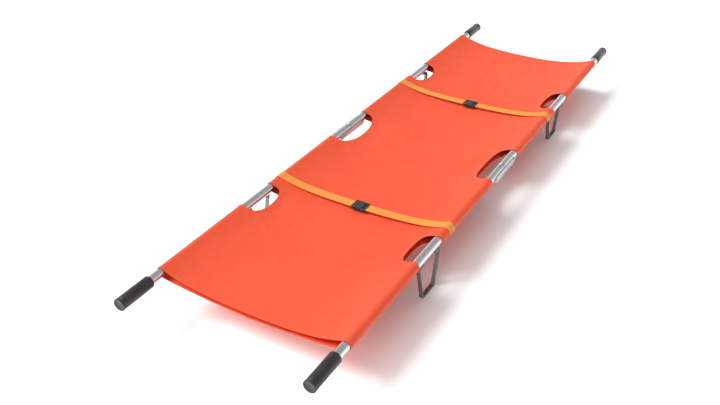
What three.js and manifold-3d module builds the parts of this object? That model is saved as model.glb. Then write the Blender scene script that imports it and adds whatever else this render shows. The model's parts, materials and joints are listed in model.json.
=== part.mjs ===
// A folding stretcher: two jointed aluminium poles, a looped canvas bed with two straps,
// cross spreaders, strip legs and rubber grips. It folds once across its width and once
// along its length. Millimetres, +Z up. The origin is on the floor below the bed's centre,
// and X runs along the poles: the front half is on -X and the left pole on +Y.
import * as THREE from 'three';
import { mergeVertices } from 'three/addons/utils/BufferGeometryUtils.js';
import Module from 'manifold-3d';

const wasm = await Module();
wasm.setup();

// Driving dimensions
const GAP = 0.3; // clearance between neighbouring pieces
const POLE_SPACING = 520; // between the pole axes
const POLE_HEIGHT = 120; // pole axis above the floor
const HALF_LENGTH = 1032; // centre to the end of a grip
const TUBE_RADIUS = 12.5;
const TUBE_WALL = 2;
const GRIP_RADIUS = 16.5;
const GRIP_LENGTH = 104;
const CANVAS_HALF_LENGTH = 889;
const CANVAS_THICKNESS = 1.2;
const HINGE_PIN_X = 69; // each pole half turns about a pin this far from the centre
const CHANNEL_HALF_LENGTH = 77;
const LEG_X = 493; // centre of a leg
const LEG_WIDTH = 11; // strip width across the pole
const LEG_THICKNESS = 4;
const LEG_SIDE_STEP = 6.5; // front legs stand out, rear legs stand in, so they pass when folded
const SPREADER_INSET = 26; // spreader pivot inboard of the pole axis
const SPREADER_THICKNESS = 3;
const SPREADER_WIDTH = 14;
const STRAP_X = 373;
const STRAP_WIDTH = 29;
const STRAP_THICKNESS = 2;
const BUCKLE_LENGTH = 43; // along the strap
const BUCKLE_WIDTH = 37;
const BUCKLE_HEIGHT = 8;
const PIN_RADIUS = 3;
const RIVET_RADIUS = 2;

// Worked-out dimensions
const POLE_Y = POLE_SPACING / 2;
const TUBE_END = HALF_LENGTH - 4; // under the grip's end wall
// From the centre to each tube's inner end, so that its edge clears the other tube as it swings.
const BUTT_GAP = HINGE_PIN_X - Math.sqrt((HINGE_PIN_X - GAP) ** 2 - TUBE_RADIUS ** 2);

const metal = (color, roughness) => new THREE.MeshStandardMaterial({ color, roughness, metalness: 1 });
const plain = (color, roughness) => new THREE.MeshStandardMaterial({ color, roughness, metalness: 0 });
const POLISHED = metal(0xc9cbcd, 0.3);
const PLATED = metal(0x9a9c9e, 0.4);
const LEG_STEEL = metal(0x77767a, 0.5);
const RUBBER = plain(0x3a3a3c, 0.75);
const CANVAS = plain(0xf2603a, 0.8);
const WEBBING = plain(0xf29a3c, 0.85);
const BUCKLE_PLASTIC = plain(0x3c4548, 0.5);

const model = new THREE.Group();

// ---- Geometry helpers ----

// A three.js geometry as a manifold-3d solid, with its shared vertices merged.
function solid(geometry) {
  const bare = geometry.clone();
  bare.deleteAttribute('normal');
  bare.deleteAttribute('uv');
  const merged = mergeVertices(bare, 1e-4);
  const corners = merged.index.array;
  const kept = [];
  for (let i = 0; i < corners.length; i += 3) {
    const [a, b, c] = [corners[i], corners[i + 1], corners[i + 2]];
    if (a !== b && b !== c && c !== a) kept.push(a, b, c);
  }
  return new wasm.Manifold(new wasm.Mesh({
    numProp: 3,
    vertProperties: new Float32Array(merged.attributes.position.array),
    triVerts: new Uint32Array(kept),
  }));
}

// A manifold-3d solid as a three.js geometry.
function geometryOf(body) {
  const mesh = body.getMesh();
  const geometry = new THREE.BufferGeometry();
  geometry.setAttribute('position', new THREE.BufferAttribute(new Float32Array(mesh.vertProperties), 3));
  geometry.setIndex(new THREE.BufferAttribute(new Uint32Array(mesh.triVerts), 1));
  geometry.computeVertexNormals();
  return geometry;
}

const joined = (...geometries) => geometries.map(solid).reduce((sum, next) => sum.add(next));
const without = (body, ...tools) => tools.map(solid).reduce((left, tool) => left.subtract(tool), body);

// A shape extruded along Z, X or Y between two levels. X takes (y, z) shapes, Y takes (x, z).
function prismZ(shape, low, high, curveSegments = 6) {
  const depth = high - low;
  const prism = new THREE.ExtrudeGeometry(shape, { depth, bevelEnabled: false, curveSegments });
  return prism.translate(0, 0, low);
}

function prismX(shape, low, high, curveSegments = 6) {
  const toX = new THREE.Matrix4().makeBasis(
    new THREE.Vector3(0, 1, 0), new THREE.Vector3(0, 0, 1), new THREE.Vector3(1, 0, 0));
  return prismZ(shape, low, high, curveSegments).applyMatrix4(toX);
}

function prismY(shape, low, high, curveSegments = 6) {
  return prismZ(shape, -high, -low, curveSegments).rotateX(Math.PI / 2);
}

function box(x0, x1, y0, y1, z0, z1) {
  const block = new THREE.BoxGeometry(x1 - x0, y1 - y0, z1 - z0);
  return block.translate((x0 + x1) / 2, (y0 + y1) / 2, (z0 + z1) / 2);
}

const rodY = (radius, length, sides = 12) => new THREE.CylinderGeometry(radius, radius, length, sides);
const rodZ = (radius, length, sides = 12) => rodY(radius, length, sides).rotateX(Math.PI / 2);

// A lathed piece standing on Z, from [radius, height] pairs listed upwards.
function turned(profile, sides = 12) {
  const points = profile.map(([radius, height]) => new THREE.Vector2(radius, height));
  return new THREE.LatheGeometry(points, sides).rotateX(Math.PI / 2);
}

// Centreline of a bent strip: straight runs with rounded corners, as [point, direction] pairs.
function bentLine(corners, radius, steps = 3) {
  const points = corners.map(([x, y]) => new THREE.Vector2(x, y));
  const line = [];
  const step = (a, b) => b.clone().sub(a).normalize();
  points.forEach((corner, i) => {
    if (i === 0 || i === points.length - 1) {
      const inner = i === 0 ? step(corner, points[1]) : step(points[i - 1], corner);
      line.push([corner, inner]);
      return;
    }
    const before = step(points[i - 1], corner);
    const after = step(corner, points[i + 1]);
    const turn = Math.atan2(before.cross(after), before.dot(after));
    const setback = radius * Math.tan(Math.abs(turn) / 2);
    const start = corner.clone().addScaledVector(before, -setback);
    const side = new THREE.Vector2(-before.y, before.x).multiplyScalar(Math.sign(turn));
    const centre = start.clone().addScaledVector(side, radius);
    for (let k = 0; k <= steps; k += 1) {
      const angle = (turn * k) / steps;
      const spoke = start.clone().sub(centre).rotateAround(new THREE.Vector2(), angle);
      line.push([centre.clone().add(spoke), before.clone().rotateAround(new THREE.Vector2(), angle)]);
    }
  });
  return line;
}

// The outline of a strip of one thickness that follows a centreline.
function stripShape(line, thickness) {
  const side = (sign) => line.map(([point, along]) => new THREE.Vector2(
    point.x - along.y * sign * thickness / 2, point.y + along.x * sign * thickness / 2));
  return new THREE.Shape([...side(-1), ...side(1).reverse()]);
}

// Adds a named sub-part, with its own material, at a place in the model.
function add(name, body, material, x = 0, y = 0, z = 0) {
  const geometry = body.isBufferGeometry ? geometryOf(solid(body)) : geometryOf(body);
  const mesh = new THREE.Mesh(geometry, material.clone());
  mesh.name = name;
  mesh.position.set(x, y, z);
  model.add(mesh);
}

const ENDS = [{ end: -1, endName: 'front' }, { end: 1, endName: 'rear' }];
const SIDES = [{ side: 1, sideName: 'left' }, { side: -1, sideName: 'right' }];
const QUARTERS = ENDS.flatMap((e) => SIDES.map((s) => ({ ...e, ...s, suffix: `${e.endName}_${s.sideName}` })));

// ---- Legs: a flat strip bent to a tapering U, with inward flanges under the pole ----

const LEG_TOP_HALF = 58; // half-widths of the strip's centreline
const LEG_FOOT_HALF = 32;
const FLANGE_END = 31;
const FLANGE_TOP = -TUBE_RADIUS - GAP; // levels are measured from the pole axis
const FLANGE_BOTTOM = FLANGE_TOP - LEG_THICKNESS;
const LEG_RIVET_X = 40;
const LEG_BEND = 6;

function legShape() {
  const top = FLANGE_TOP - LEG_THICKNESS / 2;
  const foot = -POLE_HEIGHT + LEG_THICKNESS / 2;
  return stripShape(bentLine([
    [-FLANGE_END, top], [-LEG_TOP_HALF, top], [-LEG_FOOT_HALF, foot],
    [LEG_FOOT_HALF, foot], [LEG_TOP_HALF, top], [FLANGE_END, top],
  ], LEG_BEND), LEG_THICKNESS);
}

// outward is +1 or -1: the side of the pole axis, along Y, that the strip stands on.
function leg(outward) {
  const centre = outward * LEG_SIDE_STEP;
  const strip = prismY(legShape(), centre - LEG_WIDTH / 2, centre + LEG_WIDTH / 2);
  const padFar = -outward * 6;
  const pad = (x) => box(x - 9, x + 9, Math.min(padFar, centre), Math.max(padFar, centre),
    FLANGE_BOTTOM, FLANGE_TOP);
  const hole = (x) => rodZ(RIVET_RADIUS + GAP, 20, 8).translate(x, 0, FLANGE_TOP);
  const body = joined(strip, pad(-LEG_RIVET_X), pad(LEG_RIVET_X));
  return without(body, hole(-LEG_RIVET_X), hole(LEG_RIVET_X));
}

// ---- Rivets under the poles: a round head below, a set end inside the tube ----

function poleRivet(headTop) {
  const inside = -(TUBE_RADIUS - TUBE_WALL) + GAP + 0.5; // the set end clears the bore's curve
  const hole = RIVET_RADIUS;
  return turned([
    [0, headTop - 2.2], [2.6, headTop - 1.8], [4, headTop - 0.6], [4, headTop], [hole, headTop],
    [hole, inside], [3, inside], [0, inside + 1.8],
  ], 8);
}

// ---- Z brackets: carried under the outer leg flange, they hold the spreader pivots ----

const BRACKET_THICKNESS = 2.5;
const BRACKET_HALF_WIDTH = 6.5;
const BRACKET_X = LEG_X + LEG_RIVET_X + 2.7; // clear of the opposite leg when folded
const BRACKET_TOP = FLANGE_BOTTOM - GAP;
const TAB_BOTTOM = -38; // underside of the tab that holds the pivot
const SPREADER_LEVELS = { left: TAB_BOTTOM - 0.4, right: TAB_BOTTOM - SPREADER_THICKNESS - 0.8 };

function bracket(end, side) {
  const top = BRACKET_TOP - BRACKET_THICKNESS / 2;
  const tab = TAB_BOTTOM + BRACKET_THICKNESS / 2;
  const inward = -side;
  const line = bentLine([
    [side * 8, top], [inward * 15.2, top], [inward * 15.2, tab], [inward * (SPREADER_INSET + 10), tab],
  ], 3, 3);
  const strip = prismX(stripShape(line, BRACKET_THICKNESS), -BRACKET_HALF_WIDTH, BRACKET_HALF_WIDTH);
  const rivetX = end * (LEG_X + LEG_RIVET_X - BRACKET_X);
  const rivetHole = rodZ(RIVET_RADIUS + GAP, 12, 8).translate(rivetX, 0, top);
  const pivotHole = rodZ(PIN_RADIUS + GAP, 12).translate(0, inward * SPREADER_INSET, tab);
  return without(solid(strip), rivetHole, pivotHole);
}

// ---- Cross spreaders: two flat bars that meet in a knuckle under the bed ----

const SPREADER_REACH = POLE_Y - SPREADER_INSET; // pivot to knuckle
const SPREADER_EYE_RADIUS = 8;

// The open pivot has more clearance, because the mechanism's loop is closed there by its fit.
function spreaderBar(side, pivotClearance) {
  const half = SPREADER_WIDTH / 2;
  const reach = SPREADER_REACH;
  const eye = (y) => rodZ(SPREADER_EYE_RADIUS, SPREADER_THICKNESS, 16)
    .translate(0, y, SPREADER_THICKNESS / 2);
  const blade = box(-half, half, Math.min(0, side * reach), Math.max(0, side * reach), 0, SPREADER_THICKNESS);
  const hole = (y, clearance) => rodZ(PIN_RADIUS + clearance, 12).translate(0, y, 0);
  return without(joined(blade, eye(0), eye(side * reach)), hole(0, GAP), hole(side * reach, pivotClearance));
}

// A headed pin standing on Z. Its shank runs from low to high, and a collar may fill a gap.
function headedPin(low, high, collar) {
  const head = 1.6;
  const radius = PIN_RADIUS;
  const middle = collar ? [[radius, collar[0]], [5, collar[0]], [5, collar[1]], [radius, collar[1]]] : [];
  return turned([
    [0, low - head], [4.2, low - head], [5, low - head + 0.6], [5, low], [radius, low],
    ...middle,
    [radius, high], [5, high], [5, high + head - 0.6], [4.2, high + head], [0, high + head],
  ]);
}

// ---- Poles: tube halves, grips and hinge channels ----

function tube(end) {
  const wall = [TUBE_RADIUS - TUBE_WALL, TUBE_RADIUS];
  const points = [
    [wall[0], BUTT_GAP], [wall[1], BUTT_GAP], [wall[1], TUBE_END], [wall[0], TUBE_END], [wall[0], BUTT_GAP],
  ];
  const pipe = turned(points, 24).rotateY(end * Math.PI / 2);
  const pinHole = rodY(PIN_RADIUS + GAP, 40).translate(end * HINGE_PIN_X, 0, 0);
  const rivetHoles = [-1, 1].map((way) => rodZ(RIVET_RADIUS + GAP, 6, 8)
    .translate(end * LEG_X + way * LEG_RIVET_X, 0, -TUBE_RADIUS));
  return without(solid(pipe), pinHole, ...rivetHoles);
}

const GRIP_ROUND = 3.4; // radius of the grip's inner shoulder
const GRIP_RIM = 6; // from the grip's outer end to the groove behind its rim
const GROOVE_DEPTH = 1.1;

function grip(end) {
  const start = HALF_LENGTH - GRIP_LENGTH;
  const stop = HALF_LENGTH;
  const bore = TUBE_RADIUS + GAP;
  const shaft = GRIP_RADIUS - 0.3; // the rim stands a little proud of the shaft
  const shoulder = [-90, -45, 0].map(THREE.MathUtils.degToRad).map((angle) => [
    shaft - GRIP_ROUND + GRIP_ROUND * Math.cos(angle), start + GRIP_ROUND + GRIP_ROUND * Math.sin(angle)]);
  const groove = stop - GRIP_RIM;
  return turned([
    [bore, start], ...shoulder, [shaft, groove - 1.5], [GRIP_RADIUS - GROOVE_DEPTH, groove],
    [GRIP_RADIUS, groove + 2], [GRIP_RADIUS - 0.4, stop - 1], [GRIP_RADIUS - 1.6, stop], [0, stop],
    [0, TUBE_END + GAP], [bore, TUBE_END + GAP], [bore, start],
  ], 24).rotateY(end * Math.PI / 2);
}

const CHANNEL_THICKNESS = 2;
const CHANNEL_INSIDE = TUBE_RADIUS + 0.6; // half the width between the side plates
const CHANNEL_TOP = 5.5;
const CHANNEL_WEB_HALF = HINGE_PIN_X - 15; // the web stops short of the pins so the tubes can turn

function hingeChannel() {
  const outside = CHANNEL_INSIDE + CHANNEL_THICKNESS;
  const web = -TUBE_RADIUS - GAP;
  const section = new THREE.Shape([
    [-outside, CHANNEL_TOP], [-outside, web - CHANNEL_THICKNESS], [outside, web - CHANNEL_THICKNESS],
    [outside, CHANNEL_TOP], [CHANNEL_INSIDE, CHANNEL_TOP], [CHANNEL_INSIDE, web],
    [-CHANNEL_INSIDE, web], [-CHANNEL_INSIDE, CHANNEL_TOP],
  ].map(([y, z]) => new THREE.Vector2(y, z)));
  const half = CHANNEL_HALF_LENGTH;
  const low = web - CHANNEL_THICKNESS;
  const ears = new THREE.Shape();
  const corner = 5;
  ears.moveTo(-half + corner, CHANNEL_TOP);
  ears.quadraticCurveTo(-half, CHANNEL_TOP, -half, CHANNEL_TOP - corner);
  ears.lineTo(-half, -6);
  ears.lineTo(-half + 10, low);
  ears.lineTo(half - 10, low);
  ears.lineTo(half, -6);
  ears.lineTo(half, CHANNEL_TOP - corner);
  ears.quadraticCurveTo(half, CHANNEL_TOP, half - corner, CHANNEL_TOP);
  const trimmed = solid(prismX(section, -half, half)).intersect(solid(prismY(ears, -outside - 1, outside + 1)));
  const webEnds = [-1, 1].map((end) => box(
    end < 0 ? -half - 1 : CHANNEL_WEB_HALF, end < 0 ? -CHANNEL_WEB_HALF : half + 1,
    -CHANNEL_INSIDE, CHANNEL_INSIDE, low - 1, web + 1));
  const pinHoles = [-1, 1].map((end) => rodY(PIN_RADIUS + GAP, 50).translate(end * HINGE_PIN_X, 0, 0));
  return without(trimmed, ...webEnds, ...pinHoles);
}

// ---- Canvas: one looped cloth round both poles, in a front, a middle and a rear part ----

const CLOTH_RADIUS = TUBE_RADIUS + 0.4 + CANVAS_THICKNESS / 2; // centreline round a pole
const UPPER = { centre: -20.6, leave: 23, scale: 85 }; // leave: degrees off the top of the pole
const LOWER = { centre: -31, leave: 7.85, scale: 300 };
const CUTOUT_START = 20; // from the pole axis to where a hand slot's arch begins
const CUTOUT_ROUND = 2.3; // the arch's exponent: 2 is an ellipse, more is squarer
const END_CUTOUT = { length: 130, reach: 47 }; // reach: from the pole axis to the inner edge
const MIDDLE_CUTOUT = { length: 195, reach: 54.7 };
const CUTOUTS = [{ x: -495, ...END_CUTOUT }, { x: 0, ...MIDDLE_CUTOUT }, { x: 495, ...END_CUTOUT }];

// Height of a layer's centreline above the pole axis at y, and where it meets the pole's wrap.
function layer({ centre, leave, scale }, way, wrapRadius = CLOTH_RADIUS) {
  const angle = THREE.MathUtils.degToRad(leave);
  const edge = POLE_Y - wrapRadius * Math.sin(angle);
  const edgeHeight = way * wrapRadius * Math.cos(angle);
  const rise = (edgeHeight - centre) / (Math.cosh(edge / scale) - 1);
  const height = (y) => centre + rise * (Math.cosh(y / scale) - 1);
  const slope = (y) => rise / scale * Math.sinh(y / scale);
  return { edge, height, slope, angle };
}
const upper = layer(UPPER, 1);
const lower = layer(LOWER, -1);

// A stretch of a layer from y0 to y1, as [point, direction] pairs in the (y, z) plane.
function layerLine(which, y0, y1, steps) {
  return Array.from({ length: steps + 1 }, (_, k) => {
    const y = y0 + (y1 - y0) * k / steps;
    const along = new THREE.Vector2(1, which.slope(y)).normalize().multiplyScalar(Math.sign(y1 - y0));
    return [new THREE.Vector2(y, which.height(y)), along];
  });
}

// The wrap round the outside of the pole on +Y, from the upper layer down to the lower one.
function wrapLine(radius, steps) {
  const from = Math.PI / 2 + upper.angle;
  const to = -Math.PI / 2 - lower.angle;
  return Array.from({ length: steps + 1 }, (_, k) => {
    const angle = from + (to - from) * k / steps;
    const spoke = new THREE.Vector2(Math.cos(angle), Math.sin(angle));
    const point = spoke.clone().multiplyScalar(radius).add(new THREE.Vector2(POLE_Y, 0));
    return [point, new THREE.Vector2(spoke.y, -spoke.x)];
  });
}

const offsetLine = (line, amount) => line.map(([point, along]) => [
  new THREE.Vector2(point.x - along.y * amount, point.y + along.x * amount), along]);
const mirroredLine = (line) => line.map(([point, along]) => [
  new THREE.Vector2(-point.x, point.y), new THREE.Vector2(along.x, -along.y)]).reverse();

function canvasLoop() {
  const inset = 1; // the layers stop just short of the wraps' first and last points
  const loop = [
    ...layerLine(upper, -upper.edge + inset, upper.edge - inset, 18),
    ...wrapLine(CLOTH_RADIUS, 8),
    ...layerLine(lower, lower.edge - inset, -lower.edge + inset, 10),
    ...mirroredLine(wrapLine(CLOTH_RADIUS, 8)),
  ];
  const outline = (amount) => offsetLine(loop, amount).map(([point]) => point);
  const shape = new THREE.Shape(outline(CANVAS_THICKNESS / 2));
  shape.holes.push(new THREE.Path(outline(-CANVAS_THICKNESS / 2).reverse()));
  return shape;
}

// A hand slot in plan: open towards the pole, arched on the bed's side.
function cutout({ x, length, reach }, side) {
  const half = length / 2;
  const start = POLE_Y - CUTOUT_START;
  const steps = 32;
  const plan = new THREE.Shape();
  plan.moveTo(-half, POLE_Y + 30);
  for (let i = 0; i <= steps; i++) {
    const angle = (Math.PI * i) / steps;
    const along = -Math.sign(Math.cos(angle)) * Math.abs(Math.cos(angle)) ** (2 / CUTOUT_ROUND);
    const into = Math.sin(angle) ** (2 / CUTOUT_ROUND);
    plan.lineTo(half * along, start - (reach - CUTOUT_START) * into);
  }
  plan.lineTo(half, POLE_Y + 30);
  const tool = prismZ(plan, -60, 60, 4);
  return (side > 0 ? tool : tool.rotateZ(Math.PI)).translate(x, 0, 0);
}
const cutouts = CUTOUTS.flatMap((spot) => [cutout(spot, 1), cutout(spot, -1)]);

// The fold seam: the middle part is this far from the centre at y, so that when it turns
// about the hinge pins its edge comes to rest just inside the outer parts.
function seamX(y) {
  const depth = -lower.height(y) + CANVAS_THICKNESS / 2;
  return HINGE_PIN_X - depth - 1.5;
}

// Plan of everything between the seams, moved outwards by margin.
function seamPlan(margin) {
  const reach = POLE_Y + 25;
  const steps = 12;
  const edge = Array.from({ length: steps + 1 }, (_, k) => {
    const y = -reach + 2 * reach * k / steps;
    return new THREE.Vector2(seamX(Math.min(Math.abs(y), POLE_Y - MIDDLE_CUTOUT.reach + 8)) + margin, y);
  });
  return new THREE.Shape([...edge, ...edge.map((p) => new THREE.Vector2(-p.x, p.y)).reverse()]);
}

function canvasEndPart(end) {
  const low = end < 0 ? -CANVAS_HALF_LENGTH : 0;
  const high = end < 0 ? 0 : CANVAS_HALF_LENGTH;
  const cloth = solid(prismX(canvasLoop(), low, high));
  return without(cloth, ...cutouts, prismZ(seamPlan(0), -60, 60));
}

function canvasMiddlePart(which) {
  const reach = POLE_Y - MIDDLE_CUTOUT.reach + 10;
  const line = layerLine(which, -reach, reach, 14);
  const cloth = solid(prismX(stripShape(line, CANVAS_THICKNESS), -HINGE_PIN_X, HINGE_PIN_X));
  return without(cloth, ...cutouts).intersect(solid(prismZ(seamPlan(-GAP), -60, 60)));
}

// ---- Straps and buckles ----

const STRAP_LIFT = CANVAS_THICKNESS / 2 + GAP + STRAP_THICKNESS / 2; // over the cloth's centreline
const STRAP_TAIL = 45; // length under the bed, inboard of the pole
const TAUT = { centre: -10, leave: UPPER.leave, scale: 65 }; // the straps sag less than the bed
const taut = layer(TAUT, 1, CLOTH_RADIUS + STRAP_LIFT);

function strapHalf(side) {
  const start = BUCKLE_LENGTH / 2 + GAP;
  const line = [
    ...layerLine(taut, start, taut.edge - 1, 12),
    ...wrapLine(CLOTH_RADIUS + STRAP_LIFT, 8),
    ...offsetLine(layerLine(lower, lower.edge - 1, lower.edge - STRAP_TAIL, 3), STRAP_LIFT),
  ];
  const shape = stripShape(side > 0 ? line : mirroredLine(line), STRAP_THICKNESS);
  return prismX(shape, -STRAP_WIDTH / 2, STRAP_WIDTH / 2);
}

const SOCKET_LENGTH = 27; // the rest of the buckle is the tongue's shoulder
const BUCKLE_BASE = TAUT.centre - BUCKLE_HEIGHT / 2; // the taut straps hold it above the bed

// The socket is on the left strap, from the shoulder's face to the buckle's left end.
function buckleSocket() {
  const y1 = BUCKLE_LENGTH / 2;
  const y0 = y1 - SOCKET_LENGTH;
  const half = BUCKLE_WIDTH / 2;
  const block = solid(box(-half, half, y0, y1, 0, BUCKLE_HEIGHT));
  const pocket = box(-half + 5, half - 5, y0 - 1, y1 - 6, 1.8, BUCKLE_HEIGHT - 1.8);
  const sideWindows = [-1, 1].map((way) => box(
    way < 0 ? -half - 1 : half - 6, way < 0 ? -half + 6 : half + 1, y0 + 8, y1 - 9, 2.2, BUCKLE_HEIGHT - 2.2));
  return without(block, pocket, ...sideWindows);
}

function buckleTongue() {
  const y0 = -BUCKLE_LENGTH / 2;
  const y1 = y0 + BUCKLE_LENGTH - SOCKET_LENGTH - GAP;
  const half = BUCKLE_WIDTH / 2;
  const shoulder = box(-half, half, y0, y1, 0, BUCKLE_HEIGHT);
  const reach = BUCKLE_LENGTH / 2 - 7;
  const level = [2.2, BUCKLE_HEIGHT - 2.2];
  const guide = box(-3, 3, y1 - 1, reach, ...level);
  const prongs = [-1, 1].map((way) => box(
    Math.min(way * 8.5, way * 13), Math.max(way * 8.5, way * 13), y1 - 1, reach, ...level));
  return joined(shoulder, guide, ...prongs);
}

// ---- Assembly ----

for (const { end, side, suffix, sideName } of QUARTERS) {
  const y = side * POLE_Y;
  const pivotY = side * (POLE_Y - SPREADER_INSET);
  const level = SPREADER_LEVELS[sideName] - GAP;
  add(`tube_${suffix}`, tube(end), POLISHED, 0, y, POLE_HEIGHT);
  add(`grip_${suffix}`, grip(end), RUBBER, 0, y, POLE_HEIGHT);
  add(`leg_${suffix}`, leg(-end * side), LEG_STEEL, end * LEG_X, y, POLE_HEIGHT);
  add(`leg_rivet_inner_${suffix}`, poleRivet(FLANGE_BOTTOM - GAP), PLATED,
    end * (LEG_X - LEG_RIVET_X), y, POLE_HEIGHT);
  add(`leg_rivet_outer_${suffix}`, poleRivet(BRACKET_TOP - BRACKET_THICKNESS - GAP), PLATED,
    end * (LEG_X + LEG_RIVET_X), y, POLE_HEIGHT);
  add(`bracket_${suffix}`, bracket(end, side), LEG_STEEL, end * BRACKET_X, y, POLE_HEIGHT);
  const collar = side < 0 ? [SPREADER_LEVELS.right + GAP, TAB_BOTTOM - GAP] : null;
  const pinLow = level - SPREADER_THICKNESS;
  const pinHigh = TAB_BOTTOM + BRACKET_THICKNESS + GAP;
  add(`spreader_pin_${suffix}`, headedPin(pinLow, pinHigh, collar), PLATED,
    end * BRACKET_X, pivotY, POLE_HEIGHT);
  const pivotClearance = end > 0 && side < 0 ? 1 : GAP;
  add(`spreader_${suffix}`, spreaderBar(side, pivotClearance), PLATED,
    end * BRACKET_X, 0, POLE_HEIGHT + SPREADER_LEVELS[sideName] - SPREADER_THICKNESS);
}

for (const { end, endName } of ENDS) {
  add(`knuckle_pin_${endName}`, headedPin(
    SPREADER_LEVELS.right - SPREADER_THICKNESS - GAP, SPREADER_LEVELS.left + GAP), PLATED,
  end * BRACKET_X, 0, POLE_HEIGHT);
  add(`canvas_${endName}`, canvasEndPart(end), CANVAS, 0, 0, POLE_HEIGHT);
  add(`buckle_socket_${endName}`, buckleSocket(), BUCKLE_PLASTIC,
    end * STRAP_X, 0, POLE_HEIGHT + BUCKLE_BASE);
  add(`buckle_tongue_${endName}`, buckleTongue(), BUCKLE_PLASTIC,
    end * STRAP_X, 0, POLE_HEIGHT + BUCKLE_BASE);
}

for (const { side, sideName } of SIDES) {
  const y = side * POLE_Y;
  add(`hinge_channel_${sideName}`, hingeChannel(), PLATED, 0, y, POLE_HEIGHT);
  for (const { end, endName } of ENDS) {
    const half = CHANNEL_INSIDE + CHANNEL_THICKNESS + GAP;
    add(`hinge_pin_${endName}_${sideName}`, headedPin(-half, half).rotateX(Math.PI / 2), PLATED,
      end * HINGE_PIN_X, y, POLE_HEIGHT);
    add(`strap_${endName}_${sideName}`, strapHalf(side), WEBBING, end * STRAP_X, 0, POLE_HEIGHT);
  }
}

add('canvas_middle_upper', canvasMiddlePart(upper), CANVAS, 0, 0, POLE_HEIGHT);
add('canvas_middle_lower', canvasMiddlePart(lower), CANVAS, 0, 0, POLE_HEIGHT);

export default model;
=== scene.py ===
"""A folding stretcher's looks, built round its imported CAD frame.

Metres, +Z up, the frame's own axes: X runs along the poles, the front half is on -X and the
left pole on +Y. Everything soft, and every part whose fine surface matters, is built here from
the places that the frame gives.
"""
import json
import math

import bmesh
import bpy
import numpy as np
from mathutils import Matrix, Vector, noise
from mathutils.geometry import delaunay_2d_cdt

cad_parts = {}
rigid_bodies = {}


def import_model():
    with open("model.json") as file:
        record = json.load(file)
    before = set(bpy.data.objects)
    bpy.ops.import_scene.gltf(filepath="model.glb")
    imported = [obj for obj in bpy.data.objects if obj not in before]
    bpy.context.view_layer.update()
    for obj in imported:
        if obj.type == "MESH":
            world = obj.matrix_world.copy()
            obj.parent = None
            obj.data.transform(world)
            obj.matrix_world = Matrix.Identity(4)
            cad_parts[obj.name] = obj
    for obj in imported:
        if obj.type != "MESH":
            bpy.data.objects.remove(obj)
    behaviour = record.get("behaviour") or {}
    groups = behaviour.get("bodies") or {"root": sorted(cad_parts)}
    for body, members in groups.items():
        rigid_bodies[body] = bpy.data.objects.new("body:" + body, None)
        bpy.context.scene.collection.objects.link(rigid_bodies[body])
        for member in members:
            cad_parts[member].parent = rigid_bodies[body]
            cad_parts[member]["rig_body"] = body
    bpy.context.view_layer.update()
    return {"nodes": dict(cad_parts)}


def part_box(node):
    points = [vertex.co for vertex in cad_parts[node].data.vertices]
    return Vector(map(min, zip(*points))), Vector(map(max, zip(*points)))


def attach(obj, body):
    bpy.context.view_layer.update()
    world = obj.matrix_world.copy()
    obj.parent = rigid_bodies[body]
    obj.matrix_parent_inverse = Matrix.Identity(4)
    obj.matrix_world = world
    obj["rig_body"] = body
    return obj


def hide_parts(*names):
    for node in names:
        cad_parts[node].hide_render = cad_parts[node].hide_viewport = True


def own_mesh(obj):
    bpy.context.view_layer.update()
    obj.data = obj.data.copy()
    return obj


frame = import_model()
MM = 0.001

ENDS = {"front": -1, "rear": 1}
SIDES = {"left": 1, "right": -1}
QUARTERS = [(e, s) for e in ENDS for s in SIDES]


def middle(node):
    low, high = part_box(node)
    return (low + high) / 2


def size(node):
    low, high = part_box(node)
    return high - low


# Places that the frame gives
POLE_Y = middle("tube_rear_left").y
POLE_Z = middle("grip_rear_left").z
TUBE_R = size("tube_rear_left").z / 2
TUBE_START, TUBE_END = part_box("tube_rear_left")[0].x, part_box("tube_rear_left")[1].x
GRIP_START, GRIP_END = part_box("grip_rear_left")[0].x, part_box("grip_rear_left")[1].x
CANVAS_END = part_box("canvas_rear")[1].x
HINGE_X = middle("hinge_pin_rear_left").x
LEG_X = middle("leg_rear_left").x
STRAP_X = middle("strap_rear_left").x
STRAP_WIDTH = size("strap_rear_left").x
BUCKLE_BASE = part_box("buckle_socket_rear")[0].z
BUCKLE_HEIGHT = size("buckle_socket_rear").z
BUCKLE_WIDTH = size("buckle_socket_rear").x

# The cloth's section: each layer is a catenary between the poles, and the wrap is an arc
CLOTH = 1.2 * MM
WRAP_R = TUBE_R + 0.4 * MM + CLOTH / 2
UPPER = {"centre": -20.6 * MM, "leave": math.radians(23), "scale": 85 * MM, "way": 1}
LOWER = {"centre": -31 * MM, "leave": math.radians(7.85), "scale": 300 * MM, "way": -1}
BED_HALF = 240 * MM  # the flat bed meets the pole sleeves here
TAUT = {"centre": -10 * MM, "leave": UPPER["leave"], "scale": 65 * MM, "way": 1}  # the straps
MIDDLE_SLOT_HALF = 97.5 * MM
MIDDLE_SLOT_Y = POLE_Y - 54.7 * MM  # inner edge of the two middle hand slots
END_SLOT = (430 * MM, 560 * MM)
END_SLOT_Y = POLE_Y - 47 * MM
ARCH_ROUND = 2.3  # exponent of the slots' arches: 2 is an ellipse, more is squarer


# ---------------------------------------------------------------- materials

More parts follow.
